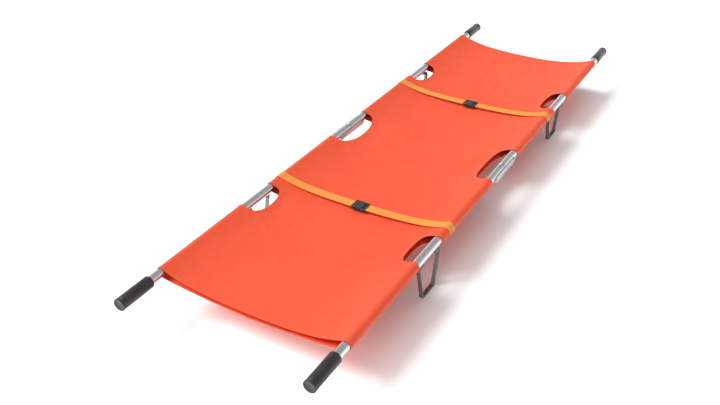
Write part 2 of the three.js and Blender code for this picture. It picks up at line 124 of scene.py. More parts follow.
class Shader:
    """A small helper that adds nodes to one material and wires them."""

    def __init__(self, name, **settings):
        self.material = bpy.data.materials.new(name)
        self.material.use_nodes = True
        self.tree = self.material.node_tree
        self.bsdf = self.tree.nodes["Principled BSDF"]
        for socket, value in settings.items():
            self.bsdf.inputs[socket.replace("_", " ")].default_value = value

    def node(self, kind, operation=None, **inputs):
        made = self.tree.nodes.new("ShaderNode" + kind)
        if operation:
            made.operation = operation
        for key, value in inputs.items():
            socket = made.inputs[int(key[1:])] if key[1:].isdigit() else made.inputs[key.replace("_", " ")]
            if isinstance(value, bpy.types.NodeSocket):
                self.tree.links.new(value, socket)
            else:
                socket.default_value = value
        return made

    def math(self, operation, a, b=0.0):
        return self.node("Math", operation, i0=a, i1=b).outputs[0]

    def noise(self, vector, scale, detail=3.0, roughness=0.55):
        made = self.node("TexNoise", Vector=vector, Scale=scale, Detail=detail, Roughness=roughness)
        return made.outputs["Fac"]

    def mapped(self, vector, scale):
        return self.node("Mapping", Vector=vector, Scale=scale).outputs[0]

    def place(self, kind="Object"):
        return self.node("TexCoord").outputs[kind]

    def ramp(self, fac, low, high):
        """fac from low to high becomes 0 to 1."""
        made = self.node("MapRange", i0=fac, i1=low, i2=high)
        return made.outputs[0]

    def mix(self, fac, a, b):
        made = self.tree.nodes.new("ShaderNodeMix")
        made.data_type = "RGBA"
        for socket, value in ((made.inputs[0], fac), (made.inputs[6], a), (made.inputs[7], b)):
            if isinstance(value, bpy.types.NodeSocket):
                self.tree.links.new(value, socket)
            else:
                socket.default_value = value
        return made.outputs[2]

    def set(self, socket, value):
        self.tree.links.new(value, self.bsdf.inputs[socket])

    def bump(self, height, distance, strength=1.0, after=None):
        made = self.node("Bump", Height=height, Distance=distance, Strength=strength)
        if after is not None:
            self.tree.links.new(after, made.inputs["Normal"])
        self.set("Normal", made.outputs[0])
        return made.outputs[0]


def canvas_material():
    """PVC-coated plain weave: a fine grid of threads with painted shade in their low points, soft sheen,
    faint scuffs and colour drift.
    """
    s = Shader("coated_canvas", Roughness=0.62, Specular_IOR_Level=0.2, Sheen_Weight=0.02,
               Sheen_Roughness=0.5)
    uv = s.place("UV")
    parts = s.node("SeparateXYZ", Vector=uv)
    pitch = 1.05 * MM
    turns = 2 * math.pi / pitch
    along = s.math("SINE", s.math("MULTIPLY", parts.outputs[0], turns))
    across = s.math("SINE", s.math("MULTIPLY", parts.outputs[1], turns))
    weave = s.math("MULTIPLY", along, across)
    threads = s.math("ADD", s.math("MULTIPLY", weave, 0.5), s.noise(s.mapped(uv, (90, 1400, 1)), 1.0))
    drift = s.noise(s.place(), 2.4, 4.0)
    mottle = s.noise(s.place(), 38.0, 4.0, 0.65)
    scuff = s.ramp(s.noise(s.mapped(uv, (30, 5, 1)), 3.0, 6.0, 0.7), 0.62, 0.82)
    base = s.mix(s.ramp(drift, 0.3, 0.7), (0.88, 0.098, 0.040, 1), (0.93, 0.114, 0.048, 1))
    base = s.mix(s.math("MULTIPLY", s.ramp(mottle, 0.35, 0.75), 0.28), base, (0.78, 0.078, 0.030, 1))
    base = s.mix(s.math("MULTIPLY", scuff, 0.12), base, (0.95, 0.26, 0.16, 1))
    # Painted shade: the colour darkens where the weave's threads dip low.
    painted_weave_shade = s.math("MULTIPLY", s.ramp(weave, -0.2, -1.0), 0.22)
    s.set("Base Color", s.mix(painted_weave_shade, base, (0.55, 0.055, 0.022, 1)))
    s.set("Roughness", s.ramp(s.math("ADD", mottle, s.math("MULTIPLY", scuff, 0.3)), -1.1, 1.6))
    coarse = s.bump(s.noise(s.place(), 60.0, 3.0), 0.25 * MM, 0.5)
    s.bump(threads, 0.12 * MM, 0.45, coarse)
    return s.material


def webbing_material():
    """Ribbed polypropylene webbing: columns of chevrons across the strap, with painted shade in the low ribs
    and a painted highlight on the loose fibres.
    """
    s = Shader("strap_webbing", Roughness=0.6, Specular_IOR_Level=0.3, Sheen_Weight=0.06,
               Sheen_Roughness=0.4)
    uv = s.place("UV")
    parts = s.node("SeparateXYZ", Vector=uv)
    column = 2.4 * MM
    rib = 1.5 * MM
    zigzag = s.math("PINGPONG", parts.outputs[1], column)
    run = s.math("ADD", parts.outputs[0], s.math("MULTIPLY", zigzag, 0.8))
    chevron = s.math("SINE", s.math("MULTIPLY", run, 2 * math.pi / rib))
    groove = s.ramp(s.math("ABSOLUTE", s.math("SINE", s.math(
        "MULTIPLY", parts.outputs[1], math.pi / column))), 0.0, 0.35)
    height = s.math("ADD", s.math("MULTIPLY", chevron, 0.5), groove)
    fuzz_and_highlight = s.noise(s.mapped(uv, (2500, 2500, 1)), 1.0, 2.0)
    drift = s.noise(s.place(), 14.0, 4.0)
    base = s.mix(s.ramp(drift, 0.3, 0.7), (0.91, 0.315, 0.044, 1), (0.95, 0.365, 0.060, 1))
    # Painted shade: the colour darkens where the ribs and grooves are low.
    shade = s.math("MULTIPLY", s.ramp(height, 0.9, -0.4), 0.5)
    base = s.mix(shade, base, (0.70, 0.19, 0.022, 1))
    # Painted highlight: the loose fibres' fuzz tints the colour lighter.
    s.set("Base Color", s.mix(s.math("MULTIPLY", fuzz_and_highlight, 0.12), base, (0.98, 0.48, 0.14, 1)))
    s.bump(s.math("ADD", height, s.math("MULTIPLY", fuzz_and_highlight, 0.3)), 0.28 * MM, 0.8)
    return s.material


def thread_material(name, dark, light):
    """Twisted sewing thread: fine slanting plies."""
    s = Shader(name, Roughness=0.55, Sheen_Weight=0.3)
    twist = s.noise(s.mapped(s.place(), (1900, 1900, 900)), 1.0, 2.0)
    s.set("Base Color", s.mix(s.ramp(twist, 0.3, 0.7), dark, light))
    s.bump(twist, 0.1 * MM, 0.6)
    return s.material


def drawn_aluminium():
    """Drawn tube: fine lines along X, dull patches and a few light scratches."""
    s = Shader("drawn_aluminium", Metallic=1.0, Roughness=0.3)
    place = s.place()
    lines = s.noise(s.mapped(place, (3, 900, 900)), 1.0, 3.0, 0.6)
    haze = s.noise(s.mapped(place, (9, 60, 60)), 1.0, 5.0, 0.6)
    scratch = s.ramp(s.noise(s.mapped(place, (160, 900, 900)), 1.0, 2.0), 0.70, 0.78)
    base = s.mix(s.ramp(haze, 0.3, 0.75), (0.80, 0.81, 0.83, 1), (0.66, 0.67, 0.69, 1))
    s.set("Base Color", s.mix(s.math("MULTIPLY", scratch, 0.35), base, (0.9, 0.9, 0.91, 1)))
    rough = s.math("ADD", s.math("MULTIPLY", haze, 0.22), s.math("MULTIPLY", lines, 0.12))
    s.set("Roughness", s.math("ADD", rough, 0.09))
    s.bump(s.math("SUBTRACT", lines, s.math("MULTIPLY", scratch, 0.4)), 0.05 * MM, 0.6)
    return s.material


def worn_metal(name, dark, light, rough, grain=420.0):
    """Plated or bare steel with mottled oxide, a fine grain, and handling marks."""
    s = Shader(name, Metallic=1.0, Roughness=rough)
    place = s.place()
    mottle = s.noise(place, 85.0, 6.0, 0.62)
    fine = s.noise(place, grain, 3.0)
    marks = s.ramp(s.noise(s.mapped(place, (400, 90, 400)), 1.0, 3.0), 0.66, 0.76)
    base = s.mix(s.ramp(mottle, 0.3, 0.72), dark, light)
    s.set("Base Color", s.mix(s.math("MULTIPLY", marks, 0.3), base, (0.75, 0.75, 0.76, 1)))
    shift = s.math("ADD", s.math("MULTIPLY", mottle, 0.3), s.math("MULTIPLY", fine, 0.1))
    s.set("Roughness", s.math("ADD", shift, rough - 0.2))
    s.bump(s.math("ADD", fine, s.math("MULTIPLY", marks, -0.6)), 0.06 * MM, 0.6)
    return s.material


def rubber_material():
    """Moulded grip rubber: a fine pebbled grain, matt, with worn high spots whose shine is a painted
    highlight that makes the pebbles' tops lighter.
    """
    s = Shader("grip_rubber", Roughness=0.5, Specular_IOR_Level=0.45)
    place = s.place()
    cells = s.node("TexVoronoi", Vector=place, Scale=620.0)
    pebble_and_highlight = s.ramp(cells.outputs["Distance"], 0.75, 0.1)
    dust = s.noise(place, 45.0, 5.0, 0.65)
    base = s.mix(s.ramp(dust, 0.35, 0.75), (0.021, 0.021, 0.022, 1), (0.038, 0.037, 0.036, 1))
    # Painted highlight: the pebbles' high spots are painted lighter.
    s.set("Base Color", s.mix(s.math("MULTIPLY", pebble_and_highlight, 0.2), base, (0.052, 0.051, 0.050, 1)))
    s.set("Roughness", s.math("ADD", s.math("MULTIPLY", dust, 0.3), 0.2))
    s.bump(s.math("ADD", pebble_and_highlight, s.noise(place, 1500.0, 2.0)), 0.1 * MM, 0.45)
    return s.material


def plastic_material():
    """Moulded acetal: spark-eroded texture with faint flow marks."""
    s = Shader("buckle_plastic", Roughness=0.46, Specular_IOR_Level=0.35)
    place = s.place()
    texture = s.noise(place, 1800.0, 3.0)
    flow = s.noise(s.mapped(place, (60, 160, 60)), 1.0, 4.0)
    s.set("Base Color", s.mix(flow, (0.034, 0.037, 0.038, 1), (0.050, 0.053, 0.054, 1)))
    s.set("Roughness", s.math("ADD", s.math("MULTIPLY", flow, 0.25), 0.3))
    s.bump(texture, 0.05 * MM, 0.5)
    return s.material


CANVAS = canvas_material()
WEBBING = webbing_material()
CANVAS_THREAD = thread_material("canvas_thread", (0.70, 0.12, 0.05, 1), (0.95, 0.30, 0.18, 1))
STRAP_THREAD = thread_material("strap_thread", (0.75, 0.30, 0.06, 1), (0.98, 0.55, 0.22, 1))
ALUMINIUM = drawn_aluminium()
CHANNEL_METAL = worn_metal("channel_metal", (0.50, 0.51, 0.52, 1), (0.68, 0.69, 0.70, 1), 0.34)
PLATED = worn_metal("plated_fasteners", (0.42, 0.42, 0.42, 1), (0.62, 0.61, 0.59, 1), 0.32)
LEG_STEEL = worn_metal("leg_steel", (0.20, 0.20, 0.205, 1), (0.33, 0.33, 0.335, 1), 0.46, 300.0)
SPREADER_STEEL = worn_metal("spreader_steel", (0.30, 0.30, 0.30, 1), (0.46, 0.45, 0.44, 1), 0.42)
RUBBER = rubber_material()
PLASTIC = plastic_material()


# ---------------------------------------------------------------- mesh helpers

def placed(name, data):
    """A new object in the scene."""
    made = bpy.data.objects.new(name, data)
    bpy.context.scene.collection.objects.link(made)
    return made


def add_object(name, mesh, material, smooth):
    piece = placed(name, mesh)
    mesh.materials.clear()
    mesh.materials.append(material)
    shade(mesh, smooth)
    return piece


def mesh_from(name, points, faces):
    mesh = bpy.data.meshes.new(name)
    mesh.from_pydata([tuple(p) for p in points], [], [tuple(f) for f in faces])
    mesh.validate()
    return mesh


def outward(mesh):
    """Turns every face of a closed mesh to point out."""
    work = bmesh.new()
    work.from_mesh(mesh)
    bmesh.ops.recalc_face_normals(work, faces=work.faces)
    work.to_mesh(mesh)
    work.free()
    return mesh


def set_uv(mesh, uv_of_vertex):
    layer = mesh.uv_layers.new(name="cloth")
    corners = np.zeros(len(mesh.loops), np.int32)
    mesh.loops.foreach_get("vertex_index", corners)
    layer.data.foreach_set("uv", np.asarray(uv_of_vertex, np.float32)[corners].ravel())


def grid_faces(rows, columns, wrap=False):
    """Quads over a rows x columns grid of points, closed round the columns if wrap."""
    faces = []
    for i in range(rows - 1):
        for j in range(columns if wrap else columns - 1):
            k = (j + 1) % columns
            faces.append((i * columns + j, i * columns + k, (i + 1) * columns + k, (i + 1) * columns + j))
    return faces


def plate(outline, low, high, place):
    """A closed prism on a flat outline. place(a, b, level) turns its three numbers to a point."""
    count = len(outline)
    points = [place(a, b, level) for level in (low, high) for a, b in outline]
    faces = [tuple(range(count))[::-1], tuple(range(count, 2 * count))]
    faces += [(i, (i + 1) % count, count + (i + 1) % count, count + i) for i in range(count)]
    return points, faces


def turned_rings(profile, segments):
    """One ring of points round Z for each (radius, height) pair."""
    angles = [2 * math.pi * k / segments for k in range(segments)]
    return [(radius * math.cos(a), radius * math.sin(a), height)
            for radius, height in profile for a in angles]


def lathe(profile, segments):
    """A closed solid turned round Z from (radius, height) pairs that start and end on the axis."""
    rings = profile[1:-1]
    points = turned_rings(rings, segments)
    faces = grid_faces(len(rings), segments, wrap=True)
    bottom, top = len(points), len(points) + 1
    points += [(0, 0, profile[0][1]), (0, 0, profile[-1][1])]
    last = (len(rings) - 1) * segments
    for k in range(segments):
        after = (k + 1) % segments
        faces += [(bottom, after, k), (top, last + k, last + after)]
    return points, faces


def ring_lathe(profile, segments=96):
    """A closed ring turned round Z from (radius, height) pairs that close on themselves."""
    points = turned_rings(profile, segments)
    count = len(profile)
    faces = []
    for i in range(count):
        for k in range(segments):
            a = i * segments
            b = ((i + 1) % count) * segments
            after = (k + 1) % segments
            faces.append((a + k, a + after, b + after, b + k))
    return points, faces


def arc(centre, radius, start, stop, steps):
    """Points on an arc, with angles in degrees."""
    angles = [math.radians(start + (stop - start) * k / steps) for k in range(steps + 1)]
    return [(centre[0] + radius * math.cos(a), centre[1] + radius * math.sin(a)) for a in angles]


def along_x(end, x, y, z):
    """Matrix that lays a part turned round Z along X, its height pointing outwards, at a place."""
    turn = Matrix.Rotation(end * math.pi / 2, 4, "Y")
    return Matrix.Translation((x, y, z)) @ turn


def solid_piece(name, solid, material, matrix=None, smooth=35):
    mesh = mesh_from(name, *solid)
    if matrix is not None:
        mesh.transform(matrix)
    outward(mesh)
    return add_object(name, mesh, material, smooth)


def shade(mesh, angle):
    """Smooth shading, with the edges that turn more than angle kept sharp."""
    mesh.shade_smooth()
    mesh.set_sharp_from_angle(angle=math.radians(angle))


def round_edges(piece, width, angle):
    """Bevels the edges that turn more than angle."""
    made = piece.modifiers.new("edges", "BEVEL")
    made.width = width
    made.segments = 3
    made.limit_method = "ANGLE"
    made.angle_limit = math.radians(angle)
    made.harden_normals = True


def applied(piece):
    """Turns a piece's modifiers into its own mesh."""
    bpy.context.view_layer.update()
    graph = bpy.context.evaluated_depsgraph_get()
    mesh = bpy.data.meshes.new_from_object(piece.evaluated_get(graph))
    piece.modifiers.clear()
    piece.data = mesh
    return piece


def carve(piece, solid, operation="DIFFERENCE"):
    """Cuts a solid out of a piece, or joins it on."""
    tool = placed("tool", outward(mesh_from("tool", *solid)))
    made = piece.modifiers.new("cut", "BOOLEAN")
    made.operation = operation
    made.solver = "EXACT"
    made.object = tool
    applied(piece)
    bpy.data.objects.remove(tool)
    return piece


def block(x, y, z):
    """A box from three (low, high) pairs."""
    outline = [(x[0], y[0]), (x[1], y[0]), (x[1], y[1]), (x[0], y[1])]
    return plate(outline, z[0], z[1], lambda a, b, level: (a, b, level))


def bent_line(corners, radius, steps=8):
    """A bent strip's centreline: straight runs with round corners, as (point, direction) pairs."""
    points = [Vector(c) for c in corners]
    line = []
    for i, corner in enumerate(points):
        if i in (0, len(points) - 1):
            run = (points[1] - corner) if i == 0 else (corner - points[-2])
            line.append((corner, run.normalized()))
            continue
        before = (corner - points[i - 1]).normalized()
        after = (points[i + 1] - corner).normalized()
        turn = math.atan2(before.x * after.y - before.y * after.x, before.dot(after))
        start = corner - before * radius * math.tan(abs(turn) / 2)
        side = Vector((-before.y, before.x)) * math.copysign(radius, turn)
        centre = start + side
        for k in range(steps + 1):
            spin = Matrix.Rotation(turn * k / steps, 2)
            line.append((centre + spin @ (start - centre), spin @ before))
    return line


def strip_outline(line, thickness):
    half = thickness / 2
    left = [(p.x - d.y * half, p.y + d.x * half) for p, d in line]
    right = [(p.x + d.y * half, p.y - d.x * half) for p, d in line]
    return right + left[::-1]


# ---------------------------------------------------------------- poles, grips and hinges

def tube(end_name, side_name):
    end, y = ENDS[end_name], SIDES[side_name] * POLE_Y
    bore = TUBE_R - 2 * MM
    chamfer = 0.4 * MM
    profile = [
        (bore, TUBE_START + chamfer), (bore + chamfer, TUBE_START), (TUBE_R - chamfer, TUBE_START),
        (TUBE_R, TUBE_START + chamfer), (TUBE_R, TUBE_END - chamfer), (TUBE_R - chamfer, TUBE_END),
        (bore + chamfer, TUBE_END), (bore, TUBE_END - chamfer),
    ]
    name = f"{end_name}_{side_name}"
    piece = solid_piece("pole_" + name, ring_lathe(profile), ALUMINIUM,
                        along_x(end, 0, y, POLE_Z))
    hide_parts("tube_" + name)
    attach(piece, f"{side_name}_{end_name}_pole")


def grip(end_name, side_name):
    """A moulded grip: a round inner shoulder, a soft waist, shallow rings and a raised end rim."""
    end, y = ENDS[end_name], SIDES[side_name] * POLE_Y
    outer = size("grip_rear_left").z / 2
    shaft = outer - 0.35 * MM
    bore = TUBE_R + 0.15 * MM
    shoulder = 4 * MM
    rim = 6 * MM
    lead = [(bore, GRIP_START + 1.2 * MM), (bore + 0.6 * MM, GRIP_START + 0.25 * MM)]
    body = arc((shaft - shoulder, GRIP_START + shoulder), shoulder, -80, 0, 10)
    groove = GRIP_END - rim
    rest = [(shaft, groove - 2.2 * MM)]
    rest += arc((shaft + 0.2 * MM, groove - 0.4 * MM), 1.3 * MM, 230, 130, 8)
    rest += [(outer, groove + 1.2 * MM), (outer, GRIP_END - 1.4 * MM)]
    rest += arc((outer - 1.4 * MM, GRIP_END - 1.4 * MM), 1.4 * MM, 15, 90, 6)
    face = [(outer - 3.4 * MM, GRIP_END), (outer - 4 * MM, GRIP_END - 0.5 * MM)]
    profile = [(0, TUBE_END + 0.4 * MM), (bore, TUBE_END + 0.4 * MM)] + lead + body + rest + face
    profile.append((0, GRIP_END - 0.5 * MM))
    name = f"{end_name}_{side_name}"
    piece = solid_piece("rubber_grip_" + name, lathe(profile, 96), RUBBER,
                        along_x(end, 0, y, POLE_Z), smooth=50)
    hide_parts("grip_" + name)
    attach(piece, f"{side_name}_{end_name}_pole")


def domed_pin(radius, low, high, head_r, head_h, collar=()):
    """A headed pin standing on Z, with domed heads outside low and high."""
    dome = [(head_r * math.cos(math.radians(a)), head_h * (0.35 + 0.65 * math.sin(math.radians(a))))
            for a in (0, 20, 40, 60, 78)]
    under = [(r, low - h) for r, h in reversed(dome)] + [(head_r, low)]
    over = [(head_r, high)] + [(r, high + h) for r, h in dome]
    return [(0, low - head_h)] + under + [(radius, low)] + list(collar) + [(radius, high)] + over + [
        (0, high + head_h)]


def pin_piece(name, node, body, profile, matrix):
    piece = solid_piece(name, lathe(profile, 40), PLATED, matrix, smooth=32)
    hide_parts(node)
    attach(piece, body)


def hinge_pins():
    for end_name, side_name in QUARTERS:
        node = f"hinge_pin_{end_name}_{side_name}"
        half = size(node).y / 2
        profile = domed_pin(3 * MM, -half + 1.6 * MM, half - 1.6 * MM, 5 * MM, 1.6 * MM)
        matrix = Matrix.Translation(middle(node)) @ Matrix.Rotation(math.pi / 2, 4, "X")
        pin_piece(f"hinge_bolt_{end_name}_{side_name}", node, body_of_node(node), profile, matrix)


def body_of_node(node):
    return frame["nodes"][node]["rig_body"]


def upright_pins():
    """The spreader pivots and the knuckles stand on Z, as the leg rivets do."""
    collar_r = 5 * MM
    for end_name in ENDS:
        names = [f"spreader_pin_{end_name}_{side}" for side in SIDES] + [f"knuckle_pin_{end_name}"]
        for node in names:
            low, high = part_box(node)
            head = 1.6 * MM
            collar = []
            if node.endswith("right"):
                bar_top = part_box(f"spreader_{end_name}_right")[1].z
                tab_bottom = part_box(f"bracket_{end_name}_right")[0].z
                centre = (low.z + high.z) / 2
                levels = (bar_top + 0.3 * MM - centre, tab_bottom - 0.3 * MM - centre)
                collar = [(3 * MM, levels[0]), (collar_r, levels[0]),
                          (collar_r, levels[1]), (3 * MM, levels[1])]
            half = (high.z - low.z) / 2
            profile = domed_pin(3 * MM, -half + head, half - head, 5 * MM, head, collar)
            pin_piece(node.replace("pin", "rivet"), node, body_of_node(node), profile,
                      Matrix.Translation(middle(node)))


def leg_rivets():
    for end_name, side_name in QUARTERS:
        for place in ("inner", "outer"):
            node = f"leg_rivet_{place}_{end_name}_{side_name}"
            low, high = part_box(node)
            head_top = low.z + 2.2 * MM
            dome = [(4 * MM * math.cos(math.radians(a)), head_top - 2.2 * MM * math.sin(math.radians(a)))
                    for a in (82, 65, 45, 25, 0)]
            profile = [(0, low.z)] + dome + [(2 * MM, head_top), (2 * MM, high.z - 1.8 * MM),
                                             (3 * MM, high.z - 1.8 * MM), (0, high.z)]
            centre = middle(node)
            pin_piece(f"rivet_{place}_{end_name}_{side_name}", node, body_of_node(node), profile,
                      Matrix.Translation((centre.x, centre.y, 0)))


def carried_over(node, material, bevel):
    """A CAD node that stays, with its edges softened by modifiers only."""
    shown = frame["nodes"][node]
    for k in range(max(1, len(shown.material_slots))):
        if not shown.material_slots:
            shown.data.materials.append(material)
        shown.material_slots[k].material = material
    weld = shown.modifiers.new("weld", "WELD")
    weld.merge_threshold = 0.02 * MM
    flat = shown.modifiers.new("flat faces", "DECIMATE")
    flat.decimate_type = "DISSOLVE"
    flat.angle_limit = math.radians(1)
    round_edges(shown, bevel, 30)
    shade(shown.data, 35)


# ---------------------------------------------------------------- legs

def leg(end_name, side_name):
    """A flat strip bent to a tapering U, with two riveted pads under the pole."""
    end, side = ENDS[end_name], SIDES[side_name]
    name = f"{end_name}_{side_name}"
    top = POLE_Z - TUBE_R - 0.3 * MM
    thickness, width = 4 * MM, 11 * MM
    flange_end, top_half, foot_half, rivet_x = 31 * MM, 58 * MM, 32 * MM, 40 * MM
    high, low = top - thickness / 2, thickness / 2
    line = bent_line([(-flange_end, high), (-top_half, high), (-foot_half, low),
                      (foot_half, low), (top_half, high), (flange_end, high)], 6 * MM)
    strip_y = POLE_Y * side - end * side * 6.5 * MM
    outline = strip_outline(line, thickness)
    strip = plate(outline, strip_y - width / 2, strip_y + width / 2,
                  lambda a, b, level: (end * LEG_X + a, level, b))
    piece = solid_piece("leg_strip_" + name, strip, LEG_STEEL)
    near = POLE_Y * side + end * side * 6 * MM
    low_y, high_y = sorted((near, strip_y))
    turn = 1 if near > strip_y else -1
    tip, inner = (high_y, low_y) if near > strip_y else (low_y, high_y)
    pad_half, radius = 9 * MM, 5 * MM
    for way in (-1, 1):
        x = end * LEG_X + way * rivet_x
        corners = [(x - pad_half, inner)]
        for hand, angles in ((-1, range(0, 91, 15)), (1, range(90, -1, -15))):
            centre = x + hand * (pad_half - radius)
            corners += [(centre + hand * radius * math.cos(math.radians(a)),
                         tip - turn * (radius - radius * math.sin(math.radians(a)))) for a in angles]
        corners.append((x + pad_half, inner))
        carve(piece, plate(corners, top - thickness, top, lambda a, b, level: (a, b, level)), "UNION")
    softened(piece, 0.7 * MM)
    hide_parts("leg_" + name)
    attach(piece, f"{side_name}_{end_name}_pole")


def softened(piece, width):
    """Rounds a solid's sharp edges, after booleans have made its mesh."""
    shade(piece.data, 35)
    round_edges(piece, width, 35)


for quarter in QUARTERS:
    tube(*quarter)
    grip(*quarter)
    leg(*quarter)
hinge_pins()
upright_pins()
leg_rivets()
for side_name in SIDES:
    carried_over(f"hinge_channel_{side_name}", CHANNEL_METAL, 0.6 * MM)
for end_name, side_name in QUARTERS:
    carried_over(f"bracket_{end_name}_{side_name}", LEG_STEEL, 0.5 * MM)
    carried_over(f"spreader_{end_name}_{side_name}", SPREADER_STEEL, 0.5 * MM)


# ---------------------------------------------------------------- the cloth's shape

def smooth_step(x):
    x = min(max(x, 0.0), 1.0)
    return x * x * (3 - 2 * x)


class Layer:
    """One layer of the bed: a catenary from pole to pole, measured from the pole axis."""

    def __init__(self, centre, leave, scale, way, wrap=WRAP_R):
        self.centre, self.scale, self.way = centre, scale, way
        self.edge = POLE_Y - wrap * math.sin(leave)
        self.leave = leave
        edge_height = way * wrap * math.cos(leave)
        self.rise = (edge_height - centre) / (math.cosh(self.edge / scale) - 1)

    def height(self, y):
        return self.centre + self.rise * (math.cosh(y / self.scale) - 1)

    def slope(self, y):
        return self.rise / self.scale * math.sinh(y / self.scale)

    def arc(self, y):
        """Length along the layer from the bed's middle to y, with y's sign."""
        steps = 24
        total = 0.0
        for k in range(steps):
            total += math.hypot(1, self.slope(y * (k + 0.5) / steps)) * abs(y) / steps
        return math.copysign(total, y)


LAYERS = {"upper": Layer(**UPPER), "lower": Layer(**LOWER)}
END_ARCH = (*END_SLOT, END_SLOT_Y)
MIDDLE_ARCH = (-MIDDLE_SLOT_HALF, MIDDLE_SLOT_HALF, MIDDLE_SLOT_Y)
SLOTS = [(-END_SLOT[1], -END_SLOT[0], END_SLOT_Y), MIDDLE_ARCH, END_ARCH]
HEM_RINGS = [d * MM for d in (0, 0.7, 1.6, 3.6, 5.9, 7.0, 8.1, 9.4, 11.0)]
HEM_STITCH = 7 * MM
HEM_THICK = 0.55 * MM
LAP_ROW = 6 * MM  # the closing seam's two stitch rows, under the bed's middle
LAP_LINES = [d * MM for d in (4.8, 6.0, 7.2, 8.6, 10.0)]


def slot_path(slot, side, away=0.0):
    """The arched edge of a hand slot from pole side to pole side, moved into the cloth by away."""
    x0, x1, inner = slot
    half, depth = (x1 - x0) / 2, BED_HALF - inner
    steps = 2 * round(half / (4 * MM))
    path = []
    for k in range(steps + 1):
        angle = math.pi * k / steps
        u = -math.copysign(abs(math.cos(angle)) ** (2 / ARCH_ROUND), math.cos(angle))
        v = math.sin(angle) ** (2 / ARCH_ROUND)
        normal = Vector((math.copysign(abs(u) ** (ARCH_ROUND - 1), u) / half, v ** (ARCH_ROUND - 1) / depth))
        normal.normalize()
        x = x0 + half + half * u + away * normal.x
        y = BED_HALF - depth * v - away * normal.y
        path.append((x, y * side))
    return path


def slot_edge(slot, x):
    """Distance of a hand slot's edge at x from the bed's middle line."""
    x0, x1, inner = slot
    u = abs(2 * (x - x0) / (x1 - x0) - 1)
    return BED_HALF - (BED_HALF - inner) * (1 - u ** ARCH_ROUND) ** (1 / ARCH_ROUND)


HEM_EDGES = [slot_path(slot, side) for slot in SLOTS for side in (1, -1)]
HEM_EDGES += [[(end * CANVAS_END, -POLE_Y), (end * CANVAS_END, POLE_Y)] for end in (-1, 1)]


def line_distance(points, lines):
    """Distance in plan from each (x, y) to the nearest of some lines of points."""
    points = np.asarray(points, float)
    best = np.full(len(points), 1.0)
    for path in lines:
        line = np.asarray(path, float)
        for a, b in zip(line[:-1], line[1:]):
            d = b - a
            t = np.clip(((points - a) @ d) / max(d @ d, 1e-18), 0, 1)
            best = np.minimum(best, np.linalg.norm(points - a - t[:, None] * d, axis=1))
    return best


def hem_distance(points):
    """Distance in plan from each (x, y) to the nearest hemmed edge."""
    return line_distance(points, HEM_EDGES)


def hem_height(d):
    """How far a hem of folded cloth stands out, at a distance from its edge."""
    roll = -0.35 * MM * max(0.0, 1 - d / (1.5 * MM)) ** 2
    groove = -0.32 * MM * math.exp(-((d - HEM_STITCH) / (0.8 * MM)) ** 2)
    return (HEM_THICK + roll + groove) * (1 - smooth_step((d - 8.4 * MM) / (2.4 * MM)))


def lap_height(y):
    """The closing seam's lap, and its two rows of stitches."""
    groove = -0.3 * MM * math.exp(-((abs(y) - LAP_ROW) / (0.7 * MM)) ** 2)
    return (0.7 * MM + groove) * (1 - smooth_step((abs(y) - 8.4 * MM) / (1.4 * MM)))


PULLS = [(x, side * slot_edge(slot, x), aim) for slot in SLOTS for side in (1, -1)
         for x, aim in ((slot[0] + 9 * MM, -1), (slot[1] - 9 * MM, 1))]
FREE_EDGE_SAG = 0.031  # share of a slot's length by which its free edge hangs down
SEAM_HANG = 0.65  # share of the full hang that the cloth has beside the fold seam
SEAM_GAP = 1.5 * MM


def free_edge_share(y):
    """How much of a free edge's hang reaches the bed at y."""
    return smooth_step((abs(y) - 110 * MM) / (95 * MM))


def ripple(x, y, layer):
    """Small folds: drift, pull lines from the slots' corners, free edges and strap tension."""
    seed = 3.7 if layer.way > 0 else 11.2
    fade = smooth_step((BED_HALF - 3 * MM - abs(y)) / (32 * MM))
    drift = 1.5 * MM * noise.noise((x * 5.5, y * 8.0, seed))
    drift += 0.6 * MM * noise.noise((x * 16, y * 13, seed + 4))
    pull = 0.0
    for px, py, aim in PULLS:
        dx, dy = x - px, y - py
        r = math.hypot(dx, dy)
        if r > 220 * MM:
            continue
        heading = math.atan2(-math.copysign(0.85, py), aim * 0.55)
        across = -dx * math.sin(heading) + dy * math.cos(heading)
        forward = dx * math.cos(heading) + dy * math.sin(heading)
        if forward < -10 * MM:
            continue
        width = 13 * MM + 0.16 * r
        shape = math.cos(2 * math.pi * across / (2.2 * width)) * math.exp(-(across / width) ** 2)
        pull += 1.5 * MM * shape * math.exp(-r / (85 * MM)) * smooth_step(r / (14 * MM))
    near_strap = math.exp(-((abs(x) - STRAP_X) / (26 * MM)) ** 4)
    shoulder = math.exp(-((abs(x) - STRAP_X) / (48 * MM)) ** 2)
    strap = -0.9 * MM * near_strap + 0.5 * MM * shoulder * (1 - near_strap)
    sag = 0.0
    for x0, x1, _ in SLOTS:
        u = (x - x0) / (x1 - x0)
        if 0 < u < 1:
            hang = FREE_EDGE_SAG * (x1 - x0) * math.sin(math.pi * u) ** 1.5
            sag -= hang * free_edge_share(y)
    loose = (drift + pull) * (1 - near_strap) + strap * (1 if layer.way > 0 else 0.3)
    return (loose + sag) * fade


def on_layer(layer, x, y, out):
    """The point over (x, y) on a layer, moved out of the bed by out, and its outward direction."""
    slope = layer.slope(y)
    length = math.hypot(1, slope)
    ny, nz = -slope / length * layer.way, layer.way / length
    z = layer.height(y) + ripple(x, y, layer)
    return Vector((x, y + ny * out, POLE_Z + z + nz * out)), Vector((0, ny, nz))


def seam_x(y):
    """The fold seam's distance from the centre, so that its edges clear as the halves swing."""
    depth = -LAYERS["lower"].height(y) + CLOTH / 2
    hang = SEAM_HANG * FREE_EDGE_SAG * 2 * MIDDLE_SLOT_HALF * free_edge_share(y)
    return HINGE_X - depth - hang - SEAM_GAP


